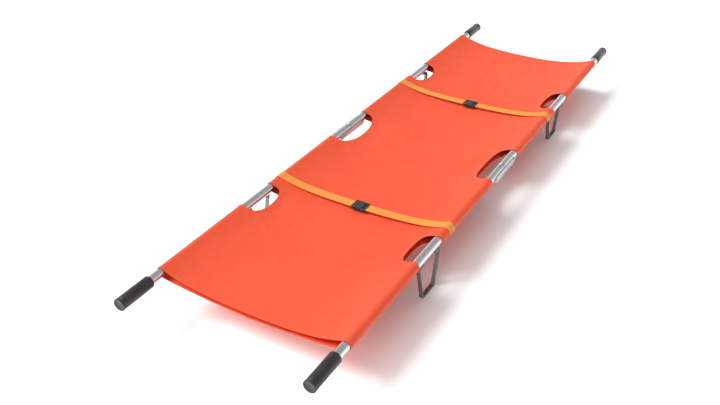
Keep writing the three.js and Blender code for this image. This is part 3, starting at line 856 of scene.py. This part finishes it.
def columns(x0, x1, hem0, hem1, step=8 * MM):
    """Positions from x0 to x1, closer together at a hemmed end."""
    start = [x0 + d for d in HEM_RINGS] if hem0 else [x0]
    stop = [x1 - d for d in reversed(HEM_RINGS)] if hem1 else [x1]
    run = stop[0] - start[-1]
    count = max(2, round(run / step))
    return start + [start[-1] + run * k / count for k in range(1, count)] + stop


SLEEVES = {"outer": (END_SLOT[1], CANVAS_END), "inner": (MIDDLE_SLOT_HALF, END_SLOT[0])}


def seam_end():
    """Half the fold seam's length: it runs to the middle slots' edges."""
    y = MIDDLE_SLOT_Y
    for _ in range(20):
        y = slot_edge(MIDDLE_ARCH, seam_x(y))
    return y


SEAM_END = seam_end()


def seam_levels():
    """Places across the bed where the fold seam has a point, from slot edge to slot edge."""
    half = [SEAM_END - d for d in HEM_RINGS]
    steps = round(half[-1] / (8 * MM))
    half += [half[-1] * (1 - k / steps) for k in range(1, steps)]
    return [-y for y in half] + [0.0] + half[::-1]


def seam_line(end):
    """Points of the fold seam, whose ends lie exactly on the slots' edges."""
    return [(end * seam_x(y), y) for y in seam_levels()]


def end_outline(end):
    """Plan of an outer bed part, from -Y round the end and back along the fold seam."""
    bottom = []
    for which in ("outer", "inner"):
        low, high = SLEEVES[which]
        xs = columns(low, high, True, True)
        run = [(end * x, -BED_HALF) for x in reversed(xs)]
        bottom += run
        path = slot_path(END_ARCH if which == "outer" else MIDDLE_ARCH, 1)
        path = [(end * x, -y) for x, y in reversed(path)][1:-1]
        if which == "inner":
            stop = seam_x(SEAM_END) + 2 * MM
            path = [(x, y) for x, y in path if end * x > stop]
        bottom += path
    seam = seam_line(end)
    top = [(x, -y) for x, y in reversed(bottom)]
    crossing = [(end * CANVAS_END, y) for y in end_levels()[1:-1]]
    return bottom + seam + top + crossing[::-1]


def end_levels():
    """Places across the bed's outer end, from -Y to +Y."""
    count = round(2 * BED_HALF / (8 * MM))
    return [-BED_HALF + 2 * BED_HALF * k / count for k in range(count + 1)]


def middle_outline():
    stop = seam_x(SEAM_END) - 2 * MM
    edge = [(x, -y) for x, y in slot_path(MIDDLE_ARCH, 1) if abs(x) < stop]
    right = seam_line(1)
    left = [(-x, y) for x, y in right]
    return edge + right + [(x, -y) for x, y in reversed(edge)] + left[::-1]


def inside(points, outline):
    """Which points lie inside a closed outline, by crossing counts."""
    points, ring = np.asarray(points, float), np.asarray(outline, float)
    hit = np.zeros(len(points), bool)
    for a, b in zip(ring, np.roll(ring, -1, axis=0)):
        if a[1] == b[1]:
            continue
        spans = (a[1] > points[:, 1]) != (b[1] > points[:, 1])
        cross = (b[0] - a[0]) * (points[:, 1] - a[1]) / (b[1] - a[1]) + a[0]
        hit ^= spans & (points[:, 0] < cross)
    return hit


def edge_distance(points, outline):
    """Distance in plan from each (x, y) to a closed outline."""
    return line_distance(points, [outline + outline[:1]])


def rings_for(outline_box):
    """Lines beside the hemmed edges that a flat part's mesh has to follow."""
    low, high = outline_box
    lines = []
    for away in HEM_RINGS[1:]:
        lines += [slot_path(slot, side, away) for slot in SLOTS for side in (1, -1)]
        for end in (-1, 1):
            lines.append([(end * (CANVAS_END - away), y) for y in end_levels()])
    return [[p for p in line if low < p[0] < high] for line in lines]


def flat_mesh(outline, extra_lines):
    """Triangles over a plan: its outline, its extra lines, and a staggered grid inside."""
    xs = [p[0] for p in outline]
    step = 8 * MM
    rings = [line for line in extra_lines + rings_for((min(xs) + MM, max(xs) - MM)) if len(line) > 1]
    kept_rings = []
    for line in rings:
        good = inside(line, outline) & (edge_distance(line, outline) > 0.25 * MM)
        runs = [[]]
        for point, ok in zip(line, good):
            if ok:
                runs[-1].append(point)
            else:
                runs.append([])
        kept_rings += [run for run in runs if len(run) > 1]
    grid = []
    rows = int(2 * BED_HALF / step)
    for j in range(rows + 1):
        y = -BED_HALF + j * step
        shift = (j % 2) * step / 2
        count = int((max(xs) - min(xs)) / step)
        grid += [(min(xs) + shift + i * step, y) for i in range(count + 1)]
    grid = np.array(grid)
    grid = grid[inside(grid, outline)]
    grid = grid[(edge_distance(grid, outline) > 5 * MM) & (hem_distance(grid) > 14.5 * MM)]
    for line in extra_lines:
        grid = grid[line_distance(grid, [line]) > 3.5 * MM]
    points = [Vector(p) for p in outline]
    edges = []
    for run in kept_rings:
        edges += [(len(points) + i, len(points) + i + 1) for i in range(len(run) - 1)]
        points += [Vector(p) for p in run]
    points += [Vector(p) for p in grid]
    face = list(range(len(outline)))
    made = delaunay_2d_cdt(points, edges, [face], 1, 1e-6)
    return [tuple(p) for p in made[0]], made[2]


def cloth_piece(name, points, faces, uv, body, squashes=True):
    mesh = mesh_from(name, points, faces)
    set_uv(mesh, uv)
    piece = add_object(name, mesh, CANVAS, smooth=60)
    shell = piece.modifiers.new("cloth", "SOLIDIFY")
    shell.thickness = CLOTH
    shell.offset = 0
    applied(piece)
    shade(piece.data, 60)
    ride_and_squash(piece, body, squashes)
    return piece


def ride_and_squash(piece, body, squashes=True):
    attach(piece, body)
    if squashes:
        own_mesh(piece)


def bed_part(name, outline, layer, body):
    """One flat part of a layer, between the pole sleeves."""
    laps = []
    if layer.way < 0:
        xs = sorted(p[0] for p in outline if abs(p[1]) < 5 * MM)
        start, stop = xs[0], xs[-1]
        count = max(2, round((stop - start) / (8 * MM)))
        for y in LAP_LINES:
            for side in (1, -1):
                laps.append([(start + (stop - start) * k / count, side * y) for k in range(count + 1)])
    plan, faces = flat_mesh(outline, laps)
    from_hem = hem_distance(plan)
    points = []
    for (x, y), d in zip(plan, from_hem):
        out = hem_height(d) + (lap_height(y) if layer.way < 0 else 0.0)
        points.append(on_layer(layer, x, y, out)[0])
    lookup = {}
    uv = []
    for x, y in plan:
        key = round(y, 6)
        if key not in lookup:
            lookup[key] = layer.arc(y)
        uv.append((x, lookup[key]))
    piece = cloth_piece(name, points, faces, uv, body)
    xs = [p[0] for p in outline]
    reach = max(p[1] for p in outline)
    width = 2 * layer.arc(reach)
    return piece


for layer_name, layer in LAYERS.items():
    for end_name, end in ENDS.items():
        piece = bed_part(f"bed_{layer_name}_{end_name}", end_outline(end), layer, f"left_{end_name}_pole")
        if layer_name == "upper":
            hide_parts(f"canvas_{end_name}")
    piece = bed_part(f"bed_{layer_name}_middle", middle_outline(), layer, "left_hinge_channel")
    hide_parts(f"canvas_middle_{layer_name}")


def sleeve_section(side):
    """The sleeve's section from the upper layer round the pole to the lower one.

    Each row is (y, z, outward y, outward z, length along the cloth), with z from the pole axis.
    """
    upper, lower = LAYERS["upper"], LAYERS["lower"]
    rows = []
    for k in range(5):
        y = BED_HALF + (upper.edge - BED_HALF) * k / 5
        length = math.hypot(1, upper.slope(y))
        rows.append((y, upper.height(y), -upper.slope(y) / length, 1 / length))
    start, stop = math.pi / 2 + upper.leave, -math.pi / 2 - lower.leave
    steps = 30
    for k in range(steps + 1):
        angle = start + (stop - start) * k / steps
        rows.append((POLE_Y + WRAP_R * math.cos(angle), WRAP_R * math.sin(angle),
                     math.cos(angle), math.sin(angle)))
    for k in range(5, -1, -1):
        y = BED_HALF + (lower.edge - BED_HALF) * k / 6
        length = math.hypot(1, lower.slope(y))
        rows.append((y, lower.height(y), lower.slope(y) / length, -1 / length))
    run = upper.arc(BED_HALF)
    section = []
    for i, row in enumerate(rows):
        if i:
            run += math.hypot(row[0] - rows[i - 1][0], row[1] - rows[i - 1][1])
        section.append((side * row[0], row[1], side * row[2], row[3], side * run))
    return section


def sleeve(which, end_name, side_name):
    """The cloth round one pole between two hand slots, hemmed where the pole comes out."""
    end, side = ENDS[end_name], SIDES[side_name]
    low, high = SLEEVES[which]
    xs = columns(low, high, True, True)
    section = sleeve_section(side)
    points, uv = [], []
    for x in xs:
        out = hem_height(min(x - low, high - x))
        crease = 0.18 * MM * noise.noise((end * x * 22, side * 3.1, 7.5))
        for i, (y, z, ny, nz, run) in enumerate(section):
            lift = out + crease * math.sin(math.pi * i / (len(section) - 1))
            points.append((end * x, y + ny * lift, POLE_Z + z + nz * lift))
            uv.append((end * x, run))
    faces = grid_faces(len(xs), len(section))
    if end * side > 0:
        faces = [face[::-1] for face in faces]
    name = f"sleeve_{which}_{end_name}_{side_name}"
    piece = cloth_piece(name, points, faces, uv, f"{side_name}_{end_name}_pole", squashes=False)


for which in SLEEVES:
    for quarter in QUARTERS:
        sleeve(which, *quarter)


# ---------------------------------------------------------------- stitching

STITCH_PITCH = 4.4 * MM
STITCH_LENGTH = 3.5 * MM
THREAD_R = 0.36 * MM


def resampled(path, pitch):
    """Places every pitch along a path of (point, outward) pairs, as (point, direction, outward)."""
    points = np.array([p for p, _ in path], float)
    outs = np.array([n for _, n in path], float)
    steps = np.linalg.norm(np.diff(points, axis=0), axis=1)
    along = np.concatenate([[0], np.cumsum(steps)])
    count = int((along[-1] - 2 * MM) / pitch)
    places = []
    for k in range(count):
        at = (along[-1] - (count - 1) * pitch) / 2 + k * pitch
        here = np.array([np.interp(at, along, points[:, i]) for i in range(3)])
        ahead = np.array([np.interp(at + 0.4 * pitch, along, points[:, i]) for i in range(3)])
        behind = np.array([np.interp(at - 0.4 * pitch, along, points[:, i]) for i in range(3)])
        out = np.array([np.interp(at, along, outs[:, i]) for i in range(3)])
        places.append((Vector(here), Vector(ahead - behind).normalized(), Vector(out).normalized()))
    return places


def stitches(name, paths, body, material, squashes,
             length=STITCH_LENGTH, radius=THREAD_R, pitch=STITCH_PITCH):
    """A row of thread stitches on each path. Their ends dip into the cloth."""
    points, faces = [], []
    rings = [(-0.42, 0.62, -0.35), (-0.2, 1.0, 0.25), (0.2, 1.0, 0.25), (0.42, 0.62, -0.35)]
    sides = 6
    for path in paths:
        for centre, direction, out in resampled(path, pitch):
            across = direction.cross(out).normalized()
            base = len(points)
            for t, width, lift in rings:
                for k in range(sides):
                    angle = 2 * math.pi * k / sides
                    sideways = across * (radius * width * math.cos(angle))
                    upwards = out * (radius * (lift + width * math.sin(angle)))
                    points.append(centre + direction * (t * length) + sideways + upwards)
            tips = [centre + direction * (t * length) - out * radius for t in (-0.5, 0.5)]
            points += tips
            for i in range(len(rings) - 1):
                for k in range(sides):
                    a, b = base + i * sides + k, base + i * sides + (k + 1) % sides
                    faces.append((a, b, b + sides, a + sides))
            last = base + (len(rings) - 1) * sides
            tip = base + len(rings) * sides
            for k in range(sides):
                after = (k + 1) % sides
                faces += [(tip, base + after, base + k), (tip + 1, last + k, last + after)]
    mesh = outward(mesh_from(name, points, faces))
    piece = add_object(name, mesh, material, smooth=80)
    ride_and_squash(piece, body, squashes)
    return piece


def layer_path(plan, layer):
    """A plan path laid on a layer's outer face, as (point, outward) pairs."""
    path = []
    for (x, y), d in zip(plan, hem_distance(plan)):
        out = hem_height(d) + (lap_height(y) if layer.way < 0 else 0.0) + CLOTH / 2
        path.append(on_layer(layer, x, y, out))
    return path


def bed_stitches(layer_name, part):
    """Hem stitches of one bed part, and on the lower layer its closing seam."""
    layer = LAYERS[layer_name]
    seam = seam_x(SEAM_END)
    paths = []
    if part == "middle":
        low, high = -seam, seam
    else:
        end = ENDS[part]
        low, high = sorted((end * seam, end * (CANVAS_END - 2 * MM)))
        x = end * (CANVAS_END - HEM_STITCH)
        paths.append([(x, y) for y in end_levels()])
    for slot in SLOTS:
        for side in (1, -1):
            path = slot_path(slot, side, HEM_STITCH)
            path = [p for p in path if low <= p[0] <= high]
            if len(path) > 2:
                paths.append(path)
    if layer_name == "lower":
        steps = 60
        if part == "middle":
            run = (-seam_x(0), seam_x(0))
        else:
            run = sorted((end * seam_x(0), end * (CANVAS_END - 9 * MM)))
        for y in (-LAP_ROW, LAP_ROW):
            paths.append([(run[0] + (run[1] - run[0]) * k / steps, y) for k in range(steps + 1)])
    body = "left_hinge_channel" if part == "middle" else f"left_{part}_pole"
    stitches(f"stitching_{layer_name}_{part}", [layer_path(p, layer) for p in paths], body,
             CANVAS_THREAD, True)


def sleeve_stitches(end_name, side_name):
    end, side = ENDS[end_name], SIDES[side_name]
    section = sleeve_section(side)
    paths = []
    for low, high in SLEEVES.values():
        for x in (low + HEM_STITCH, high - HEM_STITCH):
            out = hem_height(HEM_STITCH) + CLOTH / 2
            paths.append([(Vector((end * x, y + ny * out, POLE_Z + z + nz * out)), Vector((0, ny, nz)))
                          for y, z, ny, nz, _ in section])
    stitches(f"stitching_sleeve_{end_name}_{side_name}", paths, f"{side_name}_{end_name}_pole",
             CANVAS_THREAD, False)


for layer_name in LAYERS:
    for part in ("front", "middle", "rear"):
        bed_stitches(layer_name, part)
for quarter in QUARTERS:
    sleeve_stitches(*quarter)


# ---------------------------------------------------------------- straps

STRAP_HALF_THICK = 0.85 * MM
STRAP_LIFT = CLOTH / 2 + 0.25 * MM + STRAP_HALF_THICK
STRAP_TAIL = 45 * MM
STRAP_INTO_BUCKLE = 16.5 * MM  # the strap's end, from the middle of the buckle
STRAP_LAYER = Layer(**TAUT, wrap=WRAP_R + STRAP_LIFT)
BUCKLE_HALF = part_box("buckle_socket_rear")[1].y


def strap_section():
    """The strap's section as (across, thickness) offsets: flat faces and round selvages."""
    half = STRAP_WIDTH / 2
    thick = STRAP_HALF_THICK
    faces = [-half + 1.0 * MM, -half + 2.6 * MM, -9 * MM, -4.5 * MM, 0, 4.5 * MM, 9 * MM,
             half - 2.6 * MM, half - 1.0 * MM]
    bead = 1.12
    top = [(x, thick * (bead if abs(x) > half - 2.7 * MM else 1.0)) for x in faces]
    end = [(half - 0.25 * MM, thick * 0.75), (half, 0), (half - 0.25 * MM, -thick * 0.75)]
    other = [(-x, -z) for x, z in end]
    return top + end + [(x, -z) for x, z in reversed(top)] + other


def swept_strap(name, stations, body, squashes):
    """A strap through (point, outward, run) stations. Its width lies along X."""
    section = strap_section()
    points, uv = [], []
    for centre, out, run in stations:
        for across, lift in section:
            points.append(centre + Vector((across, 0, 0)) + out * lift)
            uv.append((run, across + (0 if lift >= 0 else 40 * MM)))
    faces = grid_faces(len(stations), len(section), wrap=True)
    count = len(section)
    last = (len(stations) - 1) * count
    faces += [tuple(range(count))[::-1], tuple(last + k for k in range(count))]
    mesh = outward(mesh_from(name, points, faces))
    set_uv(mesh, uv)
    piece = add_object(name, mesh, WEBBING, smooth=50)
    ride_and_squash(piece, body, squashes)
    return piece


def on_strap(x, y):
    """The point of a strap's middle plane over (x, y), and its upward direction."""
    slope = STRAP_LAYER.slope(y)
    length = math.hypot(1, slope)
    wave = 0.5 * MM * noise.noise((x * 3, y * 9, 2.6)) * smooth_step((BED_HALF - abs(y)) / (60 * MM))
    return Vector((x, y, POLE_Z + STRAP_LAYER.height(y) + wave)), Vector((0, -slope / length, 1 / length))


def strap_over_bed(end_name, side_name):
    """The taut strap half over the bed, from inside the buckle to the sleeve."""
    end, side = ENDS[end_name], SIDES[side_name]
    steps = 34
    stations = []
    for k in range(steps + 1):
        y = STRAP_INTO_BUCKLE + (BED_HALF - STRAP_INTO_BUCKLE) * k / steps
        stations.append((*on_strap(end * STRAP_X, side * y), side * y))
    swept_strap(f"strap_bed_{end_name}_{side_name}", stations, f"left_{end_name}_pole", True)


def strap_round_pole(end_name, side_name):
    """The strap's loop round the sleeve, and its tail that is sewn under the bed."""
    end, side = ENDS[end_name], SIDES[side_name]
    lower = LAYERS["lower"]
    x = end * STRAP_X
    path = []
    for k in range(5):
        path.append(on_strap(x, side * (BED_HALF + (STRAP_LAYER.edge - BED_HALF) * k / 5)))
    for y, z, ny, nz, _ in sleeve_section(side)[5:]:
        point = Vector((x, y + ny * STRAP_LIFT, POLE_Z + z + nz * STRAP_LIFT))
        path.append((point, Vector((0, ny, nz))))
    wrapped = len(path)
    under = lower.edge - STRAP_TAIL
    steps = 8
    for k in range(1, steps + 1):
        y = BED_HALF + (under - BED_HALF) * k / steps
        path.append(on_layer(lower, x, side * y, STRAP_LIFT))
    run = BED_HALF
    stations = []
    for i, (point, out) in enumerate(path):
        if i:
            run += (point - path[i - 1][0]).length
        stations.append((point, out, side * run))
    loop, tail = stations[:wrapped], stations[wrapped - 1:]
    name = f"{end_name}_{side_name}"
    piece = swept_strap("strap_loop_" + name, loop, f"{side_name}_{end_name}_pole", False)
    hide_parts("strap_" + name)
    swept_strap("strap_tail_" + name, tail, f"left_{end_name}_pole", True)


def strap_stitches(end_name, side_name):
    """A sewn box with a cross through it, on the strap's tail under the bed."""
    end, side = ENDS[end_name], SIDES[side_name]
    lower = LAYERS["lower"]
    inner, outer = lower.edge - STRAP_TAIL + 4 * MM, lower.edge - 17 * MM
    half = STRAP_WIDTH / 2 - 4 * MM
    corners = [(-half, inner), (half, inner), (half, outer), (-half, outer)]
    runs = [(corners[i], corners[(i + 1) % 4]) for i in range(4)]
    runs += [(corners[0], corners[2]), (corners[1], corners[3])]
    paths = []
    for (xa, ya), (xb, yb) in runs:
        path = []
        for k in range(9):
            x = end * STRAP_X + xa + (xb - xa) * k / 8
            y = side * (ya + (yb - ya) * k / 8)
            path.append(on_layer(lower, x, y, STRAP_LIFT + STRAP_HALF_THICK))
        paths.append(path)
    stitches(f"strap_sewing_{end_name}_{side_name}", paths, f"left_{end_name}_pole",
             STRAP_THREAD, True, length=2.6 * MM, radius=0.3 * MM, pitch=3.2 * MM)


for quarter in QUARTERS:
    strap_over_bed(*quarter)
    strap_round_pole(*quarter)
    strap_stitches(*quarter)


# ---------------------------------------------------------------- buckles

def rounded_plan(x0, x1, y0, y1, radius):
    plan = arc((x1 - radius, y0 + radius), radius, -90, 0, 5)
    plan += arc((x1 - radius, y1 - radius), radius, 0, 90, 5)
    plan += arc((x0 + radius, y1 - radius), radius, 90, 180, 5)
    plan += arc((x0 + radius, y0 + radius), radius, 180, 270, 5)
    return plan


def crowned(piece, height, crown):
    """Lowers a plastic body's top towards its side edges, so that it isn't flat."""
    for vertex in piece.data.vertices:
        across = vertex.co.x / (BUCKLE_WIDTH / 2)
        if vertex.co.z > height * 0.8:
            vertex.co.z -= crown * across ** 2


def bar_block(x0, x1, y0, y1, z0, z1, radius=1.2 * MM):
    return plate(rounded_plan(x0, x1, y0, y1, radius), z0, z1, lambda a, b, level: (a, b, level))


def buckle_half(name, node, y0, y1, cuts, adds, end):
    """One moulded half: a rounded body, carved and added to, with soft edges."""
    half = BUCKLE_WIDTH / 2
    body = bar_block(-half, half, y0, y1, 0, BUCKLE_HEIGHT, 2.4 * MM)
    piece = solid_piece(name, body, PLASTIC)
    for solid in cuts:
        carve(piece, solid)
    for solid in adds:
        carve(piece, solid, "UNION")
    crowned(piece, BUCKLE_HEIGHT, 0.7 * MM)
    softened(piece, 0.45 * MM)
    piece.data.transform(Matrix.Translation((end * STRAP_X, 0, BUCKLE_BASE)))
    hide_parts(node)
    return piece


def buckle(end_name):
    """A side-release buckle: a socket with side windows, and a tongue with two sprung prongs."""
    end = ENDS[end_name]
    half = BUCKLE_WIDTH / 2
    top, y1 = BUCKLE_HEIGHT, BUCKLE_HALF
    socket_y0 = y1 - size("buckle_socket_rear").y
    slot_half = STRAP_WIDTH / 2 + 0.6 * MM
    wall = 1.5 * MM
    # socket
    pocket = block((-half + 4 * MM, half - 4 * MM), (socket_y0 - MM, y1 - 8.5 * MM), (wall, top - wall))
    windows = [block((way * half - 5 * MM, way * half + 5 * MM), (socket_y0 + 7 * MM, y1 - 9 * MM),
                     (2 * MM, top - 2 * MM)) for way in (-1, 1)]
    strap_way = block((-slot_half, slot_half), (y1 - 6 * MM, y1 - 2.6 * MM), (-MM, top + MM))
    mouth = block((-slot_half, slot_half), (y1 - 3 * MM, y1 + MM), (1.6 * MM, top - 1.9 * MM))
    panel = bar_block(-half + 8 * MM, half - 8 * MM, socket_y0 + 5 * MM, y1 - 10 * MM,
                      top - 0.5 * MM, top + MM)
    socket = buckle_half(f"buckle_shell_{end_name}", f"buckle_socket_{end_name}", socket_y0, y1,
                         [pocket, *windows, strap_way, mouth, panel], [], end)
    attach(socket, f"{end_name}_buckle")
    # tongue
    shoulder_y1 = socket_y0 - 0.3 * MM
    reach = y1 - 10 * MM
    level = (2.3 * MM, top - 2.3 * MM)
    guide = block((-2.6 * MM, 2.6 * MM), (shoulder_y1 - MM, reach), level)
    prongs = []
    for way in (-1, 1):
        plan = [(way * 8.6 * MM, shoulder_y1 - MM), (way * 12.2 * MM, shoulder_y1 - MM),
                (way * 12.8 * MM, socket_y0 + 7.4 * MM), (way * 17.2 * MM, socket_y0 + 8.2 * MM),
                (way * 16.4 * MM, reach - 2.6 * MM), (way * 12.2 * MM, reach), (way * 9.4 * MM, reach)]
        prongs.append(plate(plan, *level, lambda a, b, z: (a, b, z)))
    ways = [block((-slot_half, slot_half), (y, y + 3.2 * MM), (-MM, top + MM))
            for y in (-y1 + 2.6 * MM, -y1 + 8.6 * MM)]
    mouth = block((-slot_half, slot_half), (-y1 - MM, -y1 + 3 * MM), (1.6 * MM, top - 1.9 * MM))
    tongue = buckle_half(f"buckle_clip_{end_name}", f"buckle_tongue_{end_name}", -y1, shoulder_y1,
                         [*ways, mouth], [guide, *prongs], end)
    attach(tongue, f"{end_name}_buckle")


for end_name in ENDS:
    buckle(end_name)


# ---------------------------------------------------------------- floor, light and camera

SKY = 0.4
KEY_DIRECTION = (0.45, -0.8, -1.0)
KEY_STRENGTH = 3.1
WASH_DIRECTION = (0.8, -0.4, -0.75)
WASH_STRENGTH = 2.0  # falls on the floor only, and keeps it white up to the shadow


def floor():
    """A wide white floor."""
    half = 30.0
    corners = [(-half, -half, 0), (half, -half, 0), (half, half, 0), (-half, half, 0)]
    mesh = mesh_from("floor", corners, [(0, 1, 2, 3)])
    white = bpy.data.materials.new("studio_floor")
    white.use_nodes = True
    shader = white.node_tree.nodes["Principled BSDF"]
    shader.inputs["Base Color"].default_value = (0.92, 0.92, 0.92, 1)
    shader.inputs["Roughness"].default_value = 0.9
    mesh.materials.append(white)
    ground = placed("floor", mesh)
    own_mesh(ground)


def sun(name, direction, strength, spread):
    """A distant soft light that shines along a direction."""
    data = bpy.data.lights.new(name, "SUN")
    data.energy = strength
    data.angle = math.radians(spread)
    lamp = placed(name, data)
    lamp.location = (0, 0, 3)
    lamp.rotation_euler = Vector(direction).to_track_quat("-Z", "Y").to_euler()
    return lamp


def studio():
    """A white room, brightest near the horizon, a soft key light, and a wash on the floor only."""
    world = bpy.data.worlds.new("studio")
    bpy.context.scene.world = world
    world.use_nodes = True
    tree = world.node_tree
    direction = tree.nodes.new("ShaderNodeTexCoord")
    parts = tree.nodes.new("ShaderNodeSeparateXYZ")
    fade = tree.nodes.new("ShaderNodeMapRange")
    fade.interpolation_type = "SMOOTHSTEP"
    tree.links.new(direction.outputs["Generated"], parts.inputs[0])
    tree.links.new(parts.outputs[2], fade.inputs["Value"])
    fade.inputs["From Min"].default_value = 0.12
    fade.inputs["From Max"].default_value = 0.5
    fade.inputs["To Min"].default_value = 1.0
    fade.inputs["To Max"].default_value = SKY
    tree.links.new(fade.outputs[0], tree.nodes["Background"].inputs["Strength"])
    tree.nodes["Background"].inputs["Color"].default_value = (1, 1, 1, 1)
    sun("key", KEY_DIRECTION, KEY_STRENGTH, 28)
    wash = sun("floor_wash", WASH_DIRECTION, WASH_STRENGTH, 70)
    lit = bpy.data.collections.new("washed")
    lit.objects.link(bpy.data.objects["floor"])
    wash.light_linking.receiver_collection = lit


def camera():
    place = Vector((-2.049, -0.967, 1.3445))
    look = Vector((0.7317, 0.4231, -0.5345))
    data = bpy.data.cameras.new("camera")
    data.lens = 41.8
    data.sensor_width = 36
    data.clip_end = 200
    eye = placed("camera", data)
    eye.location = place
    eye.rotation_euler = look.to_track_quat("-Z", "Y").to_euler()
    bpy.context.scene.camera = eye


floor()
studio()
camera()
bpy.context.scene.view_settings.view_transform = "Standard"
